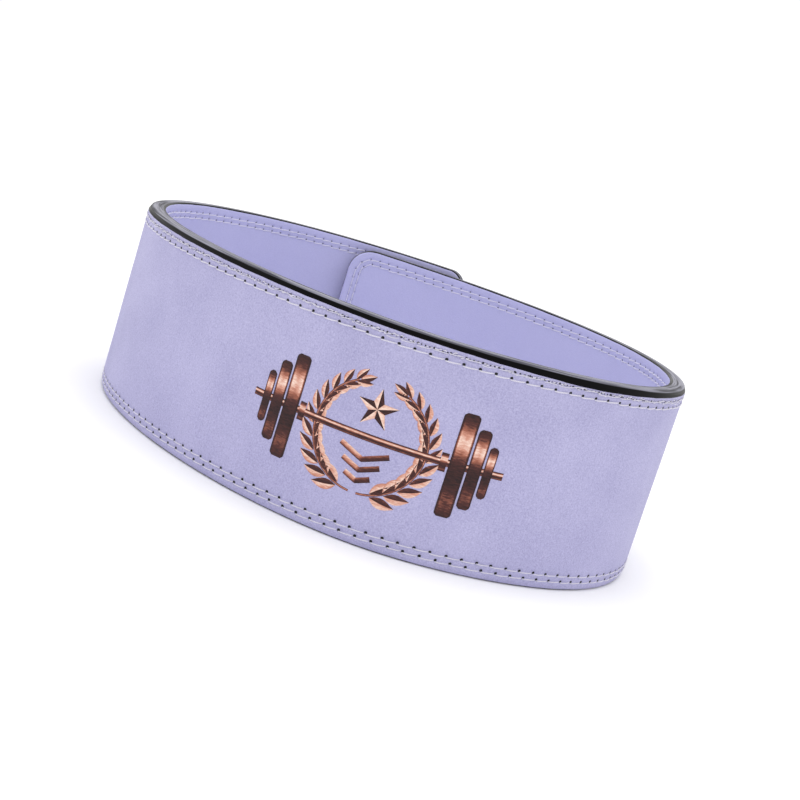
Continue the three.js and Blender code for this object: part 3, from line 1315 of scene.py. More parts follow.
@dataclass(frozen=True)
class Emblem:
    """The print on the front: a loaded barbell across a laurel wreath with a star and chevrons.

    It is laid out flat, to the right and up from its middle, as ribbons. Each becomes a thin closed film
    that follows the leather.

    Attributes:
        surface: What all plies share.
        middle: Length from the inner tip to the print's middle.
        height: Height of its middle above the strap's lower edge.
        buried: How far the film's back lies inside the leather.
        bar_reach: Half the barbell's length.
        bar_radius: Half the bar's thickness.
        plates: Where each plate's inner side lies, its width and its radius.
        wreath_radius: Radius of the wreath's stems.
        leaf_length: Length of a leaf.
        leaf_width: Half the width of a leaf.
        star_radius: Radius of the star's points.
        star_height: Height of the star's middle over the bar.
        rim_round: Radius of a plate's rounded ends.
        from_edge: Distance from the strap's edge at which the leather's relief is taken.
    """

    surface: Surface
    middle: float = 492.0
    height: float = 48.5
    buried: float = 0.25
    bar_reach: float = 60.0
    bar_radius: float = 1.7
    plates: tuple[tuple[float, float, float], ...] = (
        (35.5, 7.5, 24.0),
        (43.9, 6.0, 18.5),
        (50.8, 4.2, 12.0),
    )
    wreath_radius: float = 25.5
    leaf_length: float = 11.5
    leaf_width: float = 2.5
    star_radius: float = 9.5
    star_height: float = 13.0
    rim_round: float = 1.8
    from_edge: float = 40.0

    def rolled(self, count: int) -> tuple[tuple[float, ...], np.ndarray]:
        """Rows and shades of a round bar or plate: a highlight at two thirds, falling off as exp(-x^2)."""
        across = np.linspace(-1, 1, count)
        highlight = 0.95 * np.exp(-(((across - 0.35) / 0.33) ** 2))
        glow = 0.3 * np.exp(-(((across + 0.75) / 0.2) ** 2))
        return tuple(across), np.clip(0.08 + highlight + glow, 0, 1)

    def bar(self) -> list[Ribbon]:
        """The bar with its two collars."""
        across, shades = self.rolled(9)
        run = np.linspace(-self.bar_reach, self.bar_reach, 61)
        bar = Ribbon(np.stack([run, 0 * run], axis=-1), 0 * run + self.bar_radius, across, shades, 0.11)
        collars = []
        for side in (-1, 1):
            run = side * np.linspace(31.5, 34.6, 4)[::side]
            collars.append(Ribbon(np.stack([run, 0 * run], axis=-1), 0 * run + 4.2, across, shades, 0.14))
        return [bar, *collars]

    def discs(self) -> list[Ribbon]:
        """The plates, seen edge on: upright ribbons with rounded ends, dark at their rims."""
        made = []
        for side in (-1, 1):
            for start, width, radius in self.plates:
                up = np.linspace(-radius, radius, 2 * round(radius) + 1)
                centre = side * (start + width / 2)
                corner = np.clip((np.abs(up) - radius + self.rim_round) / self.rim_round, 0, 0.97)
                half = width / 2 - self.rim_round * (1 - np.sqrt(1 - corner**2))
                light = 0.05 + 0.95 * np.exp(-(((up / radius - 0.45) / 0.3) ** 2))
                light = light + 0.35 * np.exp(-(((up / radius + 0.7) / 0.22) ** 2))
                rows = np.array([0.15, 0.55, 1.0, 0.85, 1.0, 0.55, 0.15])
                shades = np.clip(light[:, None] * rows[None, :], 0, 1)
                line = np.stack([0 * up + centre, up], axis=-1)
                made.append(Ribbon(line, half, (-1, -0.8, -0.7, 0, 0.7, 0.8, 1), shades, 0.15))
        return made

    def wreath(self) -> list[Ribbon]:
        """Two bent stems with pairs of pointed leaves, each leaf dark on one side of its rib."""
        made = []
        for side in (-1, 1):
            angle = np.radians(np.linspace(-86, 64, 36))
            stem = self.wreath_radius * np.stack([side * np.cos(angle), np.sin(angle)], axis=-1)
            made.append(Ribbon(stem, 0 * angle + 0.5, (-1, 0, 1), np.array([0.2, 0.7, 0.2])))
            for index, degrees in enumerate(np.arange(-76, 62, 13.5)):
                size = 1 - 0.035 * index
                for lean in (-32, 32):
                    made.append(self.leaf(math.radians(degrees), side, lean, size))
            made.append(self.leaf(math.radians(63), side, 0, 0.65))
        return made

    def leaf(self, angle: float, side: int, lean: float, size: float) -> Ribbon:
        """One leaf: its width grows and shrinks as a sine, and it bends slightly towards the stem.

        Args:
            angle: Where it grows on the stem, as an angle from the right.
            side: 1 for the right stem and -1 for the left one.
            lean: How far it leans off the stem, in degrees, outwards if below nought.
            size: Its size, as a share of the largest leaf's.

        Returns:
            The leaf.
        """
        t = np.linspace(0, 1, 8)
        direction = angle + math.pi / 2 + math.radians(lean) * (1 - 0.5 * t)
        step = self.leaf_length * size / 7
        run = np.cumsum(np.stack([np.cos(direction), np.sin(direction)], axis=-1) * step, axis=0)
        root = self.wreath_radius * np.array([math.cos(angle), math.sin(angle)])
        line = (root + run) * np.array([side, 1])
        half = np.maximum(self.leaf_width * size * np.sin(math.pi * t**0.85), 0.08)
        shades = np.array([0.9, 0.8, 0.1, 0.35]) if lean * side < 0 else np.array([0.3, 0.08, 0.95, 0.7])
        return Ribbon(line, half, (-1, -0.05, 0.05, 1), shades, 0.08 if lean < 0 else 0.09)

    def star(self) -> list[Ribbon]:
        """A star of five kites, each pale on one side and dark on the other."""
        made = []
        inner = 0.42 * self.star_radius
        for point in range(5):
            angle = math.radians(90 + 72 * point)
            notch = inner * math.cos(math.pi / 5)
            widest = inner * math.sin(math.pi / 5)
            run = np.array([0.05, 0.5 * inner, notch, 0.7 * self.star_radius, self.star_radius])
            half = np.interp(run, [0, notch, self.star_radius], [0.02, widest, 0.05])
            line = np.stack([run * math.cos(angle), run * math.sin(angle) + self.star_height], axis=-1)
            made.append(Ribbon(line, half, (-1, -0.04, 0.04, 1), np.array([0.15, 0.05, 1.0, 0.85]), 0.1))
        return made

    def chevrons(self) -> list[Ribbon]:
        """Three chevrons under the bar, each narrower than the one above it."""
        made = []
        for index in range(3):
            reach, drop = 11.0 - 2.6 * index, 10.1 + 5.0 * index
            run = np.linspace(-reach, reach, 13)
            line = np.stack([run, 0.42 * np.abs(run) - drop], axis=-1)
            shades = np.where(run[:, None] < 0, [[0.25, 0.7, 0.95]], [[0.1, 0.25, 0.5]])
            made.append(Ribbon(line, 0 * run + 1.25, (-1, 0, 1), shades, 0.1))
        return made

    def film(self, ribbon: Ribbon) -> MeshParts:
        """Lays a ribbon on the leather as a thin closed film.

        Args:
            ribbon: The ribbon.

        Returns:
            The film's mesh with its shades.
        """
        grid = ribbon.grid()
        length = self.middle - grid[..., 0]
        height = self.height + grid[..., 1]
        path = self.surface.path
        face = path.thickness + self.surface.relief(length, height, 0 * height + self.from_edge)
        sides = [path.point(length, face + away, height) for away in (ribbon.lift, -self.buried)]
        rows, columns = height.shape
        number = np.arange(rows * columns).reshape(rows, columns)
        rim = grid_rim(number)
        after = np.roll(rim, -1)
        top = grid_faces(rows, columns)
        skirt = np.stack([after, rim, rim + number.size, after + number.size], axis=-1)
        shades = np.broadcast_to(ribbon.shades, (rows, columns)).ravel()
        parts = MeshParts(np.concatenate([side.reshape(-1, 3) for side in sides]),
                          [top, top[:, ::-1] + number.size, skirt],
                          {"shade": np.concatenate([shades, shades])})
        return parts.outward()

    def build(self, material: bpy.types.Material) -> bpy.types.Object:
        """Builds the print as one piece.

        Args:
            material: The print's material.

        Returns:
            The piece.
        """
        ribbons = [*self.wreath(), *self.bar(), *self.discs(), *self.star(), *self.chevrons()]
        films = [self.film(ribbon) for ribbon in ribbons]
        starts = np.cumsum([0] + [len(film.points) for film in films])
        faces = [face + start for film, start in zip(films, starts) for face in film.faces]
        parts = MeshParts(np.concatenate([film.points for film in films]), [np.concatenate(faces)],
                          {"shade": np.concatenate([film.values["shade"] for film in films])})
        piece = parts.to_object("printed_emblem", material, sharp_angle=30)
        piece_of(piece, "print")
        return piece


@dataclass(frozen=True)
class Clasp:
    """The plain steel fastening over the overlap: a bent plate, two posts and two domed heads.

    Attributes:
        path: How the strap is bent.
        length: The plate's length along the strap.
        height: The plate's height.
        thickness: The plate's thickness.
        corner: The plate's corner radius.
        edge: Radius of the plate's rounded outer edge.
        clearance: Gap between the plate and the strap.
        post_pitch: Distance between the two posts.
        post_radius: Radius of a post.
        post_reach: Depth that the posts reach, below the hollow's face.
        head_radius: Radius of a head.
        head_height: Height of a head above the plate.
    """

    path: StrapPath
    length: float = 46.0
    height: float = 58.0
    thickness: float = 3.0
    corner: float = 8.0
    edge: float = 1.0
    clearance: float = 0.3
    post_pitch: float = 26.0
    post_radius: float = 4.0
    post_reach: float = -7.5
    head_radius: float = 6.5
    head_height: float = 1.6

    @property
    def centre(self) -> float:
        """The clasp's middle, as a length from the inner tip."""
        return self.path.length - self.path.overlap / 2

    def plate(self) -> MeshParts:
        """Works out the plate: rings of a rounded rectangle, each drawn in by the edge's round.

        A ring at inset d is the corner's centre plus the radius less d along the normal. The middle
        of each face is a fan of rings that shrink to a line.

        Returns:
            The plate's mesh.
        """
        inside = self.path.thickness + self.clearance
        outside = inside + self.thickness
        arc = np.radians(np.linspace(0, 90, 9))
        edge_in = 0.4
        walls = [(edge_in * (1 - math.cos(a)), inside + edge_in * (1 - math.sin(a)), 1.0)
                 for a in arc[::-1]]
        walls += [(self.edge * (1 - math.cos(a)), outside - self.edge * (1 - math.sin(a)), 1.0)
                  for a in arc]
        shrink = [0.9, 0.75, 0.55, 0.35, 0.15, 0.02]
        bottom = [(edge_in, inside, share) for share in shrink[::-1]]
        top = [(self.edge, outside, share) for share in shrink]
        rows = bottom + walls + top
        inset, depth, scale = (np.array(column)[:, None] for column in zip(*rows))
        corner_angle = np.concatenate([np.radians(np.linspace(q, q + 90, 9)) for q in (0, 90, 180, 270)])
        sign_x = np.repeat([1, -1, -1, 1], 9)
        sign_y = np.repeat([1, 1, -1, -1], 9)
        x = sign_x * (self.length / 2 - self.corner) + (self.corner - inset) * np.cos(corner_angle)
        y = sign_y * (self.height / 2 - self.corner) + (self.corner - inset) * np.sin(corner_angle)
        up = self.path.width / 2 + y * scale
        return capped(self.path.point(self.centre + x * scale, depth + 0 * x, up))

    def turned(self, profile: list[tuple[float, float]], height: float, sides: int = 40) -> MeshParts:
        """Turns a profile round an axis square to the clasp at one height.

        Args:
            profile: Radius and depth of each ring, from one end to the other.
            height: The axis's height on the strap.
            sides: Points in a ring.

        Returns:
            The turned mesh, closed by a face at each end.
        """
        radius, depth = (np.array(column)[:, None] for column in zip(*profile))
        angle = (2 * math.pi * np.arange(sides) / sides)[None, :]
        middle = self.path.point(np.array(self.centre), np.array(0.0), np.array(height))
        turn = np.interp(self.centre, self.path.lengths[1], self.path.lengths[0])
        normal = np.append(self.path.wall(np.array(turn))[1], 0.0)
        sideways = np.array([-normal[1], normal[0], 0.0])
        across = radius[..., None] * np.cos(angle)[..., None] * sideways
        up = radius[..., None] * np.sin(angle)[..., None] * np.array([0.0, 0.0, 1.0])
        return capped(middle + depth[..., None] * normal + across + up)

    def head_profile(self) -> list[tuple[float, float]]:
        """A shallow dome: a rounded rim, then height falling with the square of the radius."""
        sunk = 0.4
        rim_drop = 1.0
        rim_round = 0.35
        dome_fall = 0.62
        base = self.path.thickness + self.clearance + self.thickness - sunk
        top = base + sunk + self.head_height
        shoulder = top - rim_drop
        rim = [(self.head_radius, base), (self.head_radius, shoulder)]
        rim += [(self.head_radius - rim_round * (1 - math.cos(a)), shoulder + rim_round * math.sin(a))
                for a in np.radians([20, 45, 70])]
        radii = (6.0, 5.0, 4.0, 3.0, 2.0, 1.0, 0.2)
        return rim + [(r, top - dome_fall * (r / self.head_radius) ** 2) for r in radii]

    def build(self, material: bpy.types.Material) -> list[bpy.types.Object]:
        """Builds the plate and the two rivets.

        Args:
            material: The steel.

        Returns:
            The pieces.
        """
        plate = self.plate().outward().to_object("clasp_plate", material, sharp_angle=50)
        piece_of(plate, "clasp_steel", "clasp")
        pieces = [plate]
        inside = self.path.thickness + self.clearance
        post = [(self.post_radius - 0.5, self.post_reach), (self.post_radius, self.post_reach + 0.5),
                (self.post_radius, inside + 1.0)]
        for name, offset in (("upper", self.post_pitch / 2), ("lower", -self.post_pitch / 2)):
            height = self.path.width / 2 + offset
            for part, profile in (("head", self.head_profile()), ("post", post)):
                turned = self.turned(profile, height).outward()
                piece = turned.to_object(f"clasp_{part}_{name}", material, sharp_angle=50)
                piece_of(piece, "clasp_steel")
                pieces.append(piece)
        return pieces


@dataclass(frozen=True)
class DyedLeather:
    """Full-grain cowhide, dyed lilac, plated and sealed: a soft fine grain with a faint mottle.

    Attributes:
        name: The material's name.
        surface: Where the stitch rows lie.
        pale: Colour of the grain's tops.
        deep: Colour of the mottle's darker clouds.
        hole: Colour of a needle hole's middle: painted shade, for the shade inside the hole.
        hole_radius: Radius of a needle hole, in millimetres.
        twice: Whether the second pass of the near row shows.
        grain_size: Width of one pebble of the grain, in millimetres.
        mottle_size: Width of a cloud of the mottle, in millimetres.
    """

    name: str
    surface: Surface
    pale: str = "#b9b6d9"
    deep: str = "#9b98bf"
    hole: str = "#0a090c"
    hole_radius: float = 0.68
    twice: bool = True
    grain_size: float = 0.7
    mottle_size: float = 30.0

    def hole_distance(self, tree: bpy.types.NodeTree, uv_map: str, row: StitchRow) -> bpy.types.NodeSocket:
        """How far a point lies from the nearest needle hole of a row, in millimetres.

        The row's map holds stitch numbers, whole at the holes, so the distance along the row is what is
        left of the number past the nearest whole one, times the stitch's length.

        Args:
            tree: The material's node tree.
            uv_map: The row's map.
            row: The row.

        Returns:
            The output that gives the distance.
        """
        stitch = add_node(tree, "ShaderNodeSeparateXYZ", inputs={
            0: add_node(tree, "ShaderNodeUVMap", {"uv_map": uv_map}).outputs["UV"]})
        moved = add_node(tree, "ShaderNodeMath", {"operation": "ADD"}, {0: stitch.outputs["X"], 1: 0.5})
        part = add_node(tree, "ShaderNodeMath", {"operation": "FRACT"}, {0: moved.outputs[0]})
        centred = add_node(tree, "ShaderNodeMath", {"operation": "SUBTRACT"}, {0: part.outputs[0], 1: 0.5})
        along = add_node(tree, "ShaderNodeMath", {"operation": "MULTIPLY"}, {
            0: centred.outputs[0], 1: row.total / row.count})
        across = add_node(tree, "ShaderNodeMath", {"operation": "SUBTRACT"}, {
            0: stitch.outputs["Y"], 1: row.inset})
        both = add_node(tree, "ShaderNodeCombineXYZ", inputs={0: along.outputs[0], 1: across.outputs[0]})
        return add_node(tree, "ShaderNodeVectorMath", {"operation": "LENGTH"}, {
            0: both.outputs[0]}).outputs["Value"]

    def holes(self, tree: bpy.types.NodeTree, place: bpy.types.NodeSocket) -> tuple[
            bpy.types.NodeSocket, bpy.types.NodeSocket]:
        """Draws needle holes: middles of painted shade with ragged rims, and the leather drawn in round
        them.

        Args:
            tree: The material's node tree.
            place: Object coordinates.

        Returns:
            The outputs for how dark a hole is and for how deep the leather is drawn in.
        """
        ragged = add_node(tree, "ShaderNodeTexNoise", inputs={"Vector": place, "Scale": 900.0})
        again = add_node(tree, "ShaderNodeAttribute", {"attribute_name": "sewn_again"}).outputs["Fac"]
        rows = [("far_row", self.surface.far, 1.0, None), ("near_row", self.surface.near, 1.0, None)]
        if self.twice:
            rows.append(("again_row", self.surface.again, 0.5, again))
        drawn = None
        for uv_map, row, size, only in rows:
            distance = self.hole_distance(tree, uv_map, row)
            if self.twice and row is self.surface.near:
                distance = add_node(tree, "ShaderNodeMath", {"operation": "MULTIPLY_ADD"}, {
                    0: again, 1: 0.2, 2: distance}).outputs[0]
            rough = add_node(tree, "ShaderNodeMath", {"operation": "MULTIPLY_ADD"}, {
                0: ragged.outputs["Fac"], 1: 0.35, 2: distance})
            radius = self.hole_radius * size
            middle = add_node(tree, "ShaderNodeMapRange", {"interpolation_type": "SMOOTHSTEP"}, {
                "Value": rough.outputs[0], "From Min": radius + 0.05, "From Max": radius + 0.3,
                "To Min": 1.0, "To Max": 0.0}).outputs["Result"]
            dent = add_node(tree, "ShaderNodeMapRange", {"interpolation_type": "SMOOTHSTEP"}, {
                "Value": distance, "From Min": radius * 0.5, "From Max": radius + 1.1,
                "To Min": 1.0, "To Max": 0.0}).outputs["Result"]
            pair = [middle, dent]
            if only is not None:
                pair = [add_node(tree, "ShaderNodeMath", {"operation": "MULTIPLY"}, {
                    0: part, 1: only}).outputs[0] for part in pair]
            if drawn is not None:
                pair = [add_node(tree, "ShaderNodeMath", {"operation": "MAXIMUM"}, {
                    0: before, 1: part}).outputs[0] for before, part in zip(drawn, pair)]
            drawn = pair
        dark, deep = drawn
        shown = add_node(tree, "ShaderNodeAttribute", {"attribute_name": "shown"}).outputs["Fac"]
        dark = add_node(tree, "ShaderNodeMath", {"operation": "MULTIPLY"}, {0: dark, 1: shown}).outputs[0]
        return dark, deep

    def material(self) -> bpy.types.Material:
        """Makes the material: grain and mottle from Object coordinates, holes from the rows' maps."""
        made, tree, shader = new_material(self.name)
        place = add_node(tree, "ShaderNodeTexCoord").outputs["Object"]
        grain = add_node(tree, "ShaderNodeTexNoise", inputs={
            "Vector": place, "Scale": 1 / (self.grain_size * METRES), "Detail": 3.0, "Roughness": 0.6})
        mottle = add_node(tree, "ShaderNodeTexNoise", inputs={
            "Vector": place, "Scale": 1 / (self.mottle_size * METRES), "Detail": 1.0, "Roughness": 0.5})
        both = add_node(tree, "ShaderNodeMath", {"operation": "MULTIPLY_ADD"}, {
            0: mottle.outputs["Fac"], 1: 0.3, 2: grain.outputs["Fac"]})
        spread = add_node(tree, "ShaderNodeMapRange", inputs={
            "Value": both.outputs[0], "From Min": 0.45, "From Max": 0.85})
        colour = add_node(tree, "ShaderNodeMix", {"data_type": "RGBA"}, {
            0: spread.outputs["Result"], 6: linear(self.deep), 7: linear(self.pale)})
        dark, deep = self.holes(tree, place)
        # Painted shade: the needle holes' middles are coloured dark, for the shade inside each hole.
        hole_shaded = add_node(tree, "ShaderNodeMix", {"data_type": "RGBA"}, {
            0: dark, 6: colour.outputs[2], 7: linear(self.hole)})
        fine = add_node(tree, "ShaderNodeMapRange", inputs={
            "Value": grain.outputs["Fac"], "From Min": 0.3, "From Max": 0.7, "To Min": 0.7, "To Max": 0.55})
        dents = add_node(tree, "ShaderNodeBump", {"invert": True}, {
            "Strength": 0.8, "Distance": 0.0005, "Height": deep})
        bump = add_node(tree, "ShaderNodeBump", inputs={
            "Strength": 0.5, "Distance": 0.0003, "Height": grain.outputs["Fac"],
            "Normal": dents.outputs["Normal"]})
        feed(tree, shader, {"Base Color": hole_shaded.outputs[2], "Roughness": fine.outputs["Result"],
                            "Normal": bump.outputs["Normal"], "Specular IOR Level": 0.35})
        return made


@dataclass(frozen=True)
class EdgePaint:
    """Black acrylic edge paint, brushed along the cut edge of the plies: it mirrors only at a low angle.

    Attributes:
        colour: The paint's colour.
        line: Its colour in the brush lines of the flat, lightened there as part of the painted reflection.
        worn: Its grey between them, a painted reflection of the bright surroundings.
        line_pitch: Distance between brush lines, in millimetres.
    """

    colour: str = "#070608"
    line: str = "#34333c"
    worn: str = "#807f8d"
    line_pitch: float = 1.8

    def material(self) -> bpy.types.Material:
        """Makes the material: long brush lines from the strap's map, and a painted reflection on the flat.
        """
        made, tree, shader = new_material("black_edge_paint")
        strap = add_node(tree, "ShaderNodeUVMap", {"uv_map": "strap"}).outputs["UV"]
        stretch = add_node(tree, "ShaderNodeMapping", inputs={
            "Vector": strap, "Scale": (20.0, 1 / (self.line_pitch * METRES), 1.0)})
        lines = add_node(tree, "ShaderNodeTexNoise", inputs={
            "Vector": stretch.outputs["Vector"], "Scale": 1.0, "Detail": 2.0, "Roughness": 0.6})
        spread = add_node(tree, "ShaderNodeMapRange", inputs={
            "Value": lines.outputs["Fac"], "From Min": 0.38, "From Max": 0.55})
        flat_reflection = add_node(tree, "ShaderNodeMix", {"data_type": "RGBA"}, {
            0: spread.outputs["Result"], 6: linear(self.line), 7: linear(self.worn)})
        # Painted reflection: this mask turns the black paint grey on the flat, for the surroundings it
        # mirrors.
        worn = add_node(tree, "ShaderNodeAttribute", {"attribute_name": "worn"}).outputs["Fac"]
        colour = add_node(tree, "ShaderNodeMix", {"data_type": "RGBA"}, {
            0: worn, 6: linear(self.colour), 7: flat_reflection.outputs[2]})
        rough = add_node(tree, "ShaderNodeMapRange", inputs={
            "Value": lines.outputs["Fac"], "From Min": 0.3, "From Max": 0.7,
            "To Min": 0.46, "To Max": 0.26})
        bump = add_node(tree, "ShaderNodeBump", inputs={
            "Strength": 0.5, "Distance": 0.0001, "Height": lines.outputs["Fac"]})
        feed(tree, shader, {"Base Color": colour.outputs[2], "Roughness": rough.outputs["Result"],
                            "Normal": bump.outputs["Normal"], "Specular IOR Level": 0.06})
        return made


@dataclass(frozen=True)
class CoreLeather:
    """The middle ply's bare split leather, dyed dark: it shows only where the edge paint has gaps.

    Attributes:
        colour: The leather's colour.
        fibre: Colour of its fibres.
        fibres_per_metre: How many fibres lie side by side in a metre.
    """

    colour: str = "#1b1719"
    fibre: str = "#2b2527"
    fibres_per_metre: float = 1500.0

    def material(self) -> bpy.types.Material:
        """Makes the material: short fibres from Object coordinates."""
        made, tree, shader = new_material("split_leather")
        place = add_node(tree, "ShaderNodeTexCoord").outputs["Object"]
        fibres = add_node(tree, "ShaderNodeTexNoise", inputs={
            "Vector": place, "Scale": self.fibres_per_metre, "Detail": 3.0})
        colour = add_node(tree, "ShaderNodeMix", {"data_type": "RGBA"}, {
            0: fibres.outputs["Fac"], 6: linear(self.colour), 7: linear(self.fibre)})
        bump = add_node(tree, "ShaderNodeBump", inputs={
            "Strength": 0.4, "Distance": 0.0001, "Height": fibres.outputs["Fac"]})
        feed(tree, shader, {"Base Color": colour.outputs[2], "Roughness": 0.8,
                            "Normal": bump.outputs["Normal"]})
        return made


@dataclass(frozen=True)
class BronzePrint:
    """Ink printed on the leather in bronze tones, drawn like cast metal: dark brown to pale copper.

    Attributes:
        stops: Colours from the darkest shade to the palest.
        streak: Length of the ink's fine streaks, in millimetres.
    """

    stops: tuple[tuple[float, str], ...] = (
        (0.0, "#251517"),
        (0.28, "#4d2825"),
        (0.55, "#9a5d4a"),
        (0.78, "#cf9480"),
        (1.0, "#f0d3c4"),
    )
    streak: float = 3.0

    def material(self) -> bpy.types.Material:
        """Makes the material: the film's shade, made uneven by streaks on Object coordinates."""
        made, tree, shader = new_material("bronze_ink")
        place = add_node(tree, "ShaderNodeTexCoord").outputs["Object"]
        fine = 1 / (self.streak * METRES)
        stretch = add_node(tree, "ShaderNodeMapping", inputs={
            "Vector": place, "Scale": (fine, fine, fine * 4), "Rotation": (0.0, 0.5, 0.0)})
        streaks = add_node(tree, "ShaderNodeTexNoise", inputs={
            "Vector": stretch.outputs["Vector"], "Scale": 1.0, "Detail": 4.0, "Roughness": 0.65})
        shade = add_node(tree, "ShaderNodeAttribute", {"attribute_name": "shade"}).outputs["Fac"]
        uneven = add_node(tree, "ShaderNodeMath", {"operation": "MULTIPLY_ADD"}, {
            0: streaks.outputs["Fac"], 1: 0.7, 2: shade})
        centred = add_node(tree, "ShaderNodeMath", {"operation": "SUBTRACT"}, {
            0: uneven.outputs[0], 1: 0.35})
        ramp = add_node(tree, "ShaderNodeValToRGB", inputs={"Fac": centred.outputs[0]})
        elements = ramp.color_ramp.elements
        while len(elements) < len(self.stops):
            elements.new(1.0)
        for element, (position, colour) in zip(elements, self.stops):
            element.position = position
            element.color = linear(colour)
        feed(tree, shader, {"Base Color": ramp.outputs["Color"], "Roughness": 0.5,
                            "Specular IOR Level": 0.25})
        return made


@dataclass(frozen=True)
class WaxedThread:
    """Waxed polyester thread, three plies twisted: pale, with a soft sheen.

    Attributes:
        name: The material's name.
        colour: The thread's colour.
        valley_shade: Its colour between the twisted plies: painted shade of the grooves there.
        twist: Distance between the twist's ridges, square to them, in millimetres.
    """

    name: str = "waxed_thread"
    colour: str = "#eceaf2"
    valley_shade: str = "#b7b3cb"
    twist: float = 0.3456

    def material(self) -> bpy.types.Material:
        """Makes the material: a slanted twist from the thread's own map."""
        made, tree, shader = new_material(self.name)
        along = add_node(tree, "ShaderNodeUVMap", {"uv_map": "thread"}).outputs["UV"]
        turned = add_node(tree, "ShaderNodeMapping", inputs={"Vector": along, "Rotation": (0.0, 0.0, 0.6)})
        scale = 2 * math.pi / (WAVE_RADIANS * self.twist * METRES)
        wave = add_node(tree, "ShaderNodeTexWave", inputs={
            "Vector": turned.outputs["Vector"], "Scale": scale})
        # Painted shade: the grooves between the twisted plies are coloured darker.
        colour = add_node(tree, "ShaderNodeMix", {"data_type": "RGBA"}, {
            0: wave.outputs["Fac"], 6: linear(self.valley_shade), 7: linear(self.colour)})
        bump = add_node(tree, "ShaderNodeBump", inputs={
            "Strength": 0.5, "Distance": 0.0001, "Height": wave.outputs["Fac"]})
        feed(tree, shader, {"Base Color": colour.outputs[2], "Roughness": 0.5,
                            "Normal": bump.outputs["Normal"]})
        return made


@dataclass(frozen=True)
class BrushedSteel:
    """Stainless steel plate, brushed upright: fine scratches that stretch the reflections.

    Attributes:
        colour: The metal's colour.
        dull: Its colour in the scratches.
        scratch_pitch: Distance between scratches, in millimetres. Real ones are finer than shows.
    """

    colour: str = "#c4c6ca"
    dull: str = "#a3a5aa"
    scratch_pitch: float = 0.3

    def material(self) -> bpy.types.Material:
        """Makes the material: noise stretched upright on Object coordinates."""
        made, tree, shader = new_material("brushed_steel")
        place = add_node(tree, "ShaderNodeTexCoord").outputs["Object"]
        fine = 1 / (self.scratch_pitch * METRES)
        stretch = add_node(tree, "ShaderNodeMapping", inputs={
            "Vector": place, "Scale": (fine, fine, fine / 60)})
        lines = add_node(tree, "ShaderNodeTexNoise", inputs={
            "Vector": stretch.outputs["Vector"], "Scale": 1.0, "Detail": 3.0})
        colour = add_node(tree, "ShaderNodeMix", {"data_type": "RGBA"}, {
            0: lines.outputs["Fac"], 6: linear(self.dull), 7: linear(self.colour)})
        rough = add_node(tree, "ShaderNodeMapRange", inputs={
            "Value": lines.outputs["Fac"], "From Min": 0.3, "From Max": 0.7, "To Min": 0.26, "To Max": 0.4})
        bump = add_node(tree, "ShaderNodeBump", inputs={
            "Strength": 0.2, "Distance": 0.00005, "Height": lines.outputs["Fac"]})
        feed(tree, shader, {"Base Color": colour.outputs[2], "Roughness": rough.outputs["Result"],
                            "Normal": bump.outputs["Normal"], "Metallic": 1.0})
        return made


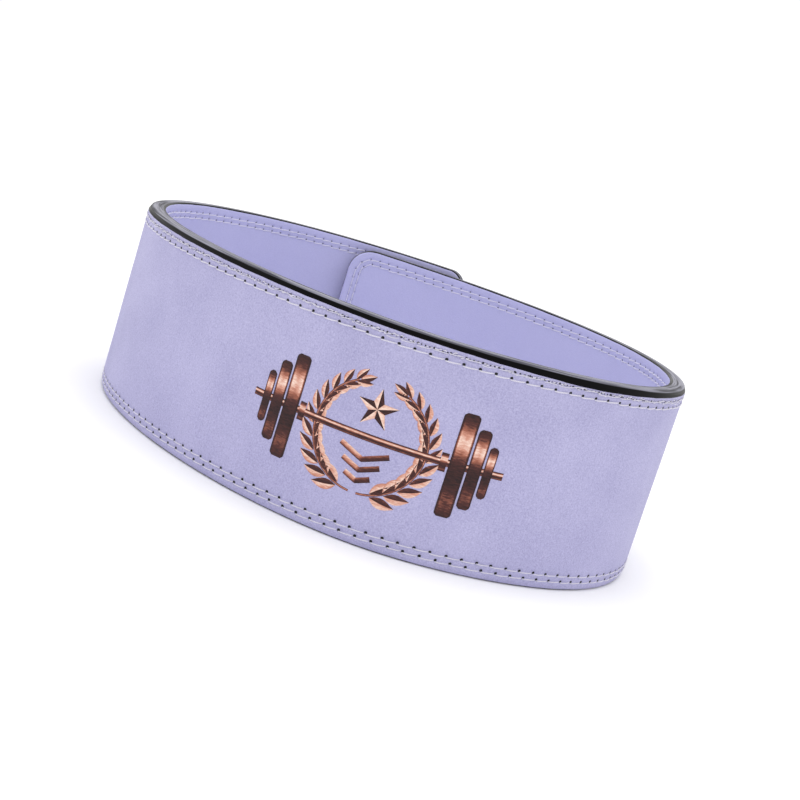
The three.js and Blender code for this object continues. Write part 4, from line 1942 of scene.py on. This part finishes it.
@dataclass(frozen=True)
class Studio:
    """A pale seamless floor, soft lights and the camera at the photograph's angle.

    Attributes:
        origin: The loop's axis in the part's frame, in millimetres.
        focal_pixels: The lens, in pixels of the 800 pixel wide image.
        distance: From the camera to the loop's middle, in millimetres.
        elevation: The camera's angle above the floor, in degrees.
        roll: How far the camera is rolled, in degrees.
        yaw: How far it looks to the side of the middle, in degrees.
        pitch: How far it looks below the middle, in degrees.
        target_height: Height that the distance is measured to, in millimetres.
        sky_strength: Strength of the white surroundings.
    """

    origin: tuple[float, float]
    focal_pixels: float = 1573.932
    distance: float = 835.312
    elevation: float = 9.630
    roll: float = 17.521
    yaw: float = 0.701
    pitch: float = 0.563
    target_height: float = 50.0
    sky_strength: float = 1.06

    def camera(self) -> None:
        """Makes the camera and sets it as the scene's."""
        data = bpy.data.cameras.new("photo_camera")
        data.sensor_width = SENSOR_WIDTH
        data.lens = SENSOR_WIDTH * self.focal_pixels / IMAGE_SIDE
        data.clip_start = 0.05
        data.clip_end = 50.0
        up = math.radians(self.elevation)
        down = math.radians(self.elevation + self.pitch)
        side = math.radians(self.yaw)
        roll = math.radians(self.roll)
        place = np.array([self.origin[0], self.origin[1] - self.distance * math.cos(up),
                          self.target_height + self.distance * math.sin(up)])
        forward = np.array([math.sin(side) * math.cos(down), math.cos(side) * math.cos(down),
                            -math.sin(down)])
        level = np.array([math.cos(side), -math.sin(side), 0.0])
        upright = np.cross(level, forward)
        right = math.cos(roll) * level + math.sin(roll) * upright
        top = -math.sin(roll) * level + math.cos(roll) * upright
        camera = bpy.data.objects.new("photo_camera", data)
        camera.matrix_world = matrix_of((right, top, -forward), place * METRES)
        bpy.context.scene.collection.objects.link(camera)
        bpy.context.scene.camera = camera

    def floor(self) -> None:
        """Makes the floor: a plain matt white sheet, larger than any view of the belt."""
        half = 30.0 / METRES
        points = np.array([[-half, -half, 0], [half, -half, 0], [half, half, 0], [-half, half, 0]], float)
        material, tree, shader = new_material("white_backdrop_paper")
        feed(tree, shader, {"Base Color": linear("#fbfbfb"), "Roughness": 1.0, "Specular IOR Level": 0.0})
        floor = MeshParts(points, [np.array([[0, 1, 2, 3]])]).to_object("studio_floor", material)

    def sky(self) -> None:
        """Sets even white surroundings."""
        world = bpy.data.worlds.new("white_surroundings")
        world.use_nodes = True
        background = world.node_tree.nodes["Background"]
        background.inputs["Color"].default_value = (1.0, 1.0, 1.0, 1.0)
        background.inputs["Strength"].default_value = self.sky_strength
        bpy.context.scene.world = world

    def lamp(self, name: str, place: tuple[float, float, float], side: float, power: float) -> None:
        """Adds a soft square lamp that looks at the belt.

        Args:
            name: The lamp's name.
            place: Where it hangs, in metres.
            side: Its side, in metres.
            power: Its power, in watts.
        """
        data = bpy.data.lights.new(name, "AREA")
        data.size = side
        data.energy = power
        lamp = bpy.data.objects.new(name, data)
        back = np.array(place) - np.array([0.0, 0.0, self.target_height * METRES])
        back = back / np.linalg.norm(back)
        right = np.cross([0.0, 1.0, 0.0], back)
        right = right / np.linalg.norm(right)
        top = np.cross(back, right)
        lamp.matrix_world = matrix_of((right, top, back), np.array(place))
        bpy.context.scene.collection.objects.link(lamp)

    def build(self) -> None:
        """Sets up the floor, the light and the camera."""
        bpy.context.scene.view_settings.view_transform = "Standard"
        self.floor()
        self.sky()
        self.lamp("overhead_softbox", (0.0, 0.1, 2.2), 1.4, 14.0)
        self.camera()


def main() -> None:
    """Builds the belt's pieces in order, then the studio."""
    logging.basicConfig(level=logging.INFO, format="%(name)s %(message)s")
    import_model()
    path = StrapPath().placed(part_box("face_leather"))
    outline = Outline(path.length)
    log.info("strap length %.1f mm, axis at %s", path.length, path.origin)
    surface = Surface(path, outline, StitchRow(outline, 4.75, seed=7), StitchRow(outline, 7.75, seed=8),
                      StitchRow(outline, 4.9, start=0.3, pitch=1.76, stray=0.25, seed=9))
    edge = EdgeShape(path.thickness)
    face = DyedLeather("dyed_leather_outside", surface).material()
    # The lining's needle holes get a paler painted shade, and are smaller.
    lining = DyedLeather("dyed_leather_lining", surface, pale="#bbbae0", deep="#b3b2da", hole="#4a4962",
                         hole_radius=0.42, twice=False).material()
    strap = Strap(surface, edge)
    strap.build(face, lining, CoreLeather().material())
    PaintedEdge(surface, edge, (strap.lining_seam, strap.face_seam)).build(EdgePaint().material())
    Emblem(surface).build(BronzePrint().material())
    top_thread = WaxedThread("waxed_thread_white").material()
    bobbin_thread = WaxedThread("waxed_thread_lilac", colour="#e6e4f2", valley_shade="#c3c1dc").material()
    Stitching("stitches_outside", surface, Side.OUTSIDE).build(top_thread)
    Stitching("stitches_hollow", surface, Side.HOLLOW).build(bobbin_thread)
    Clasp(path).build(BrushedSteel().material())
    Studio(path.origin).build()


if __name__ == "__main__":
    main()
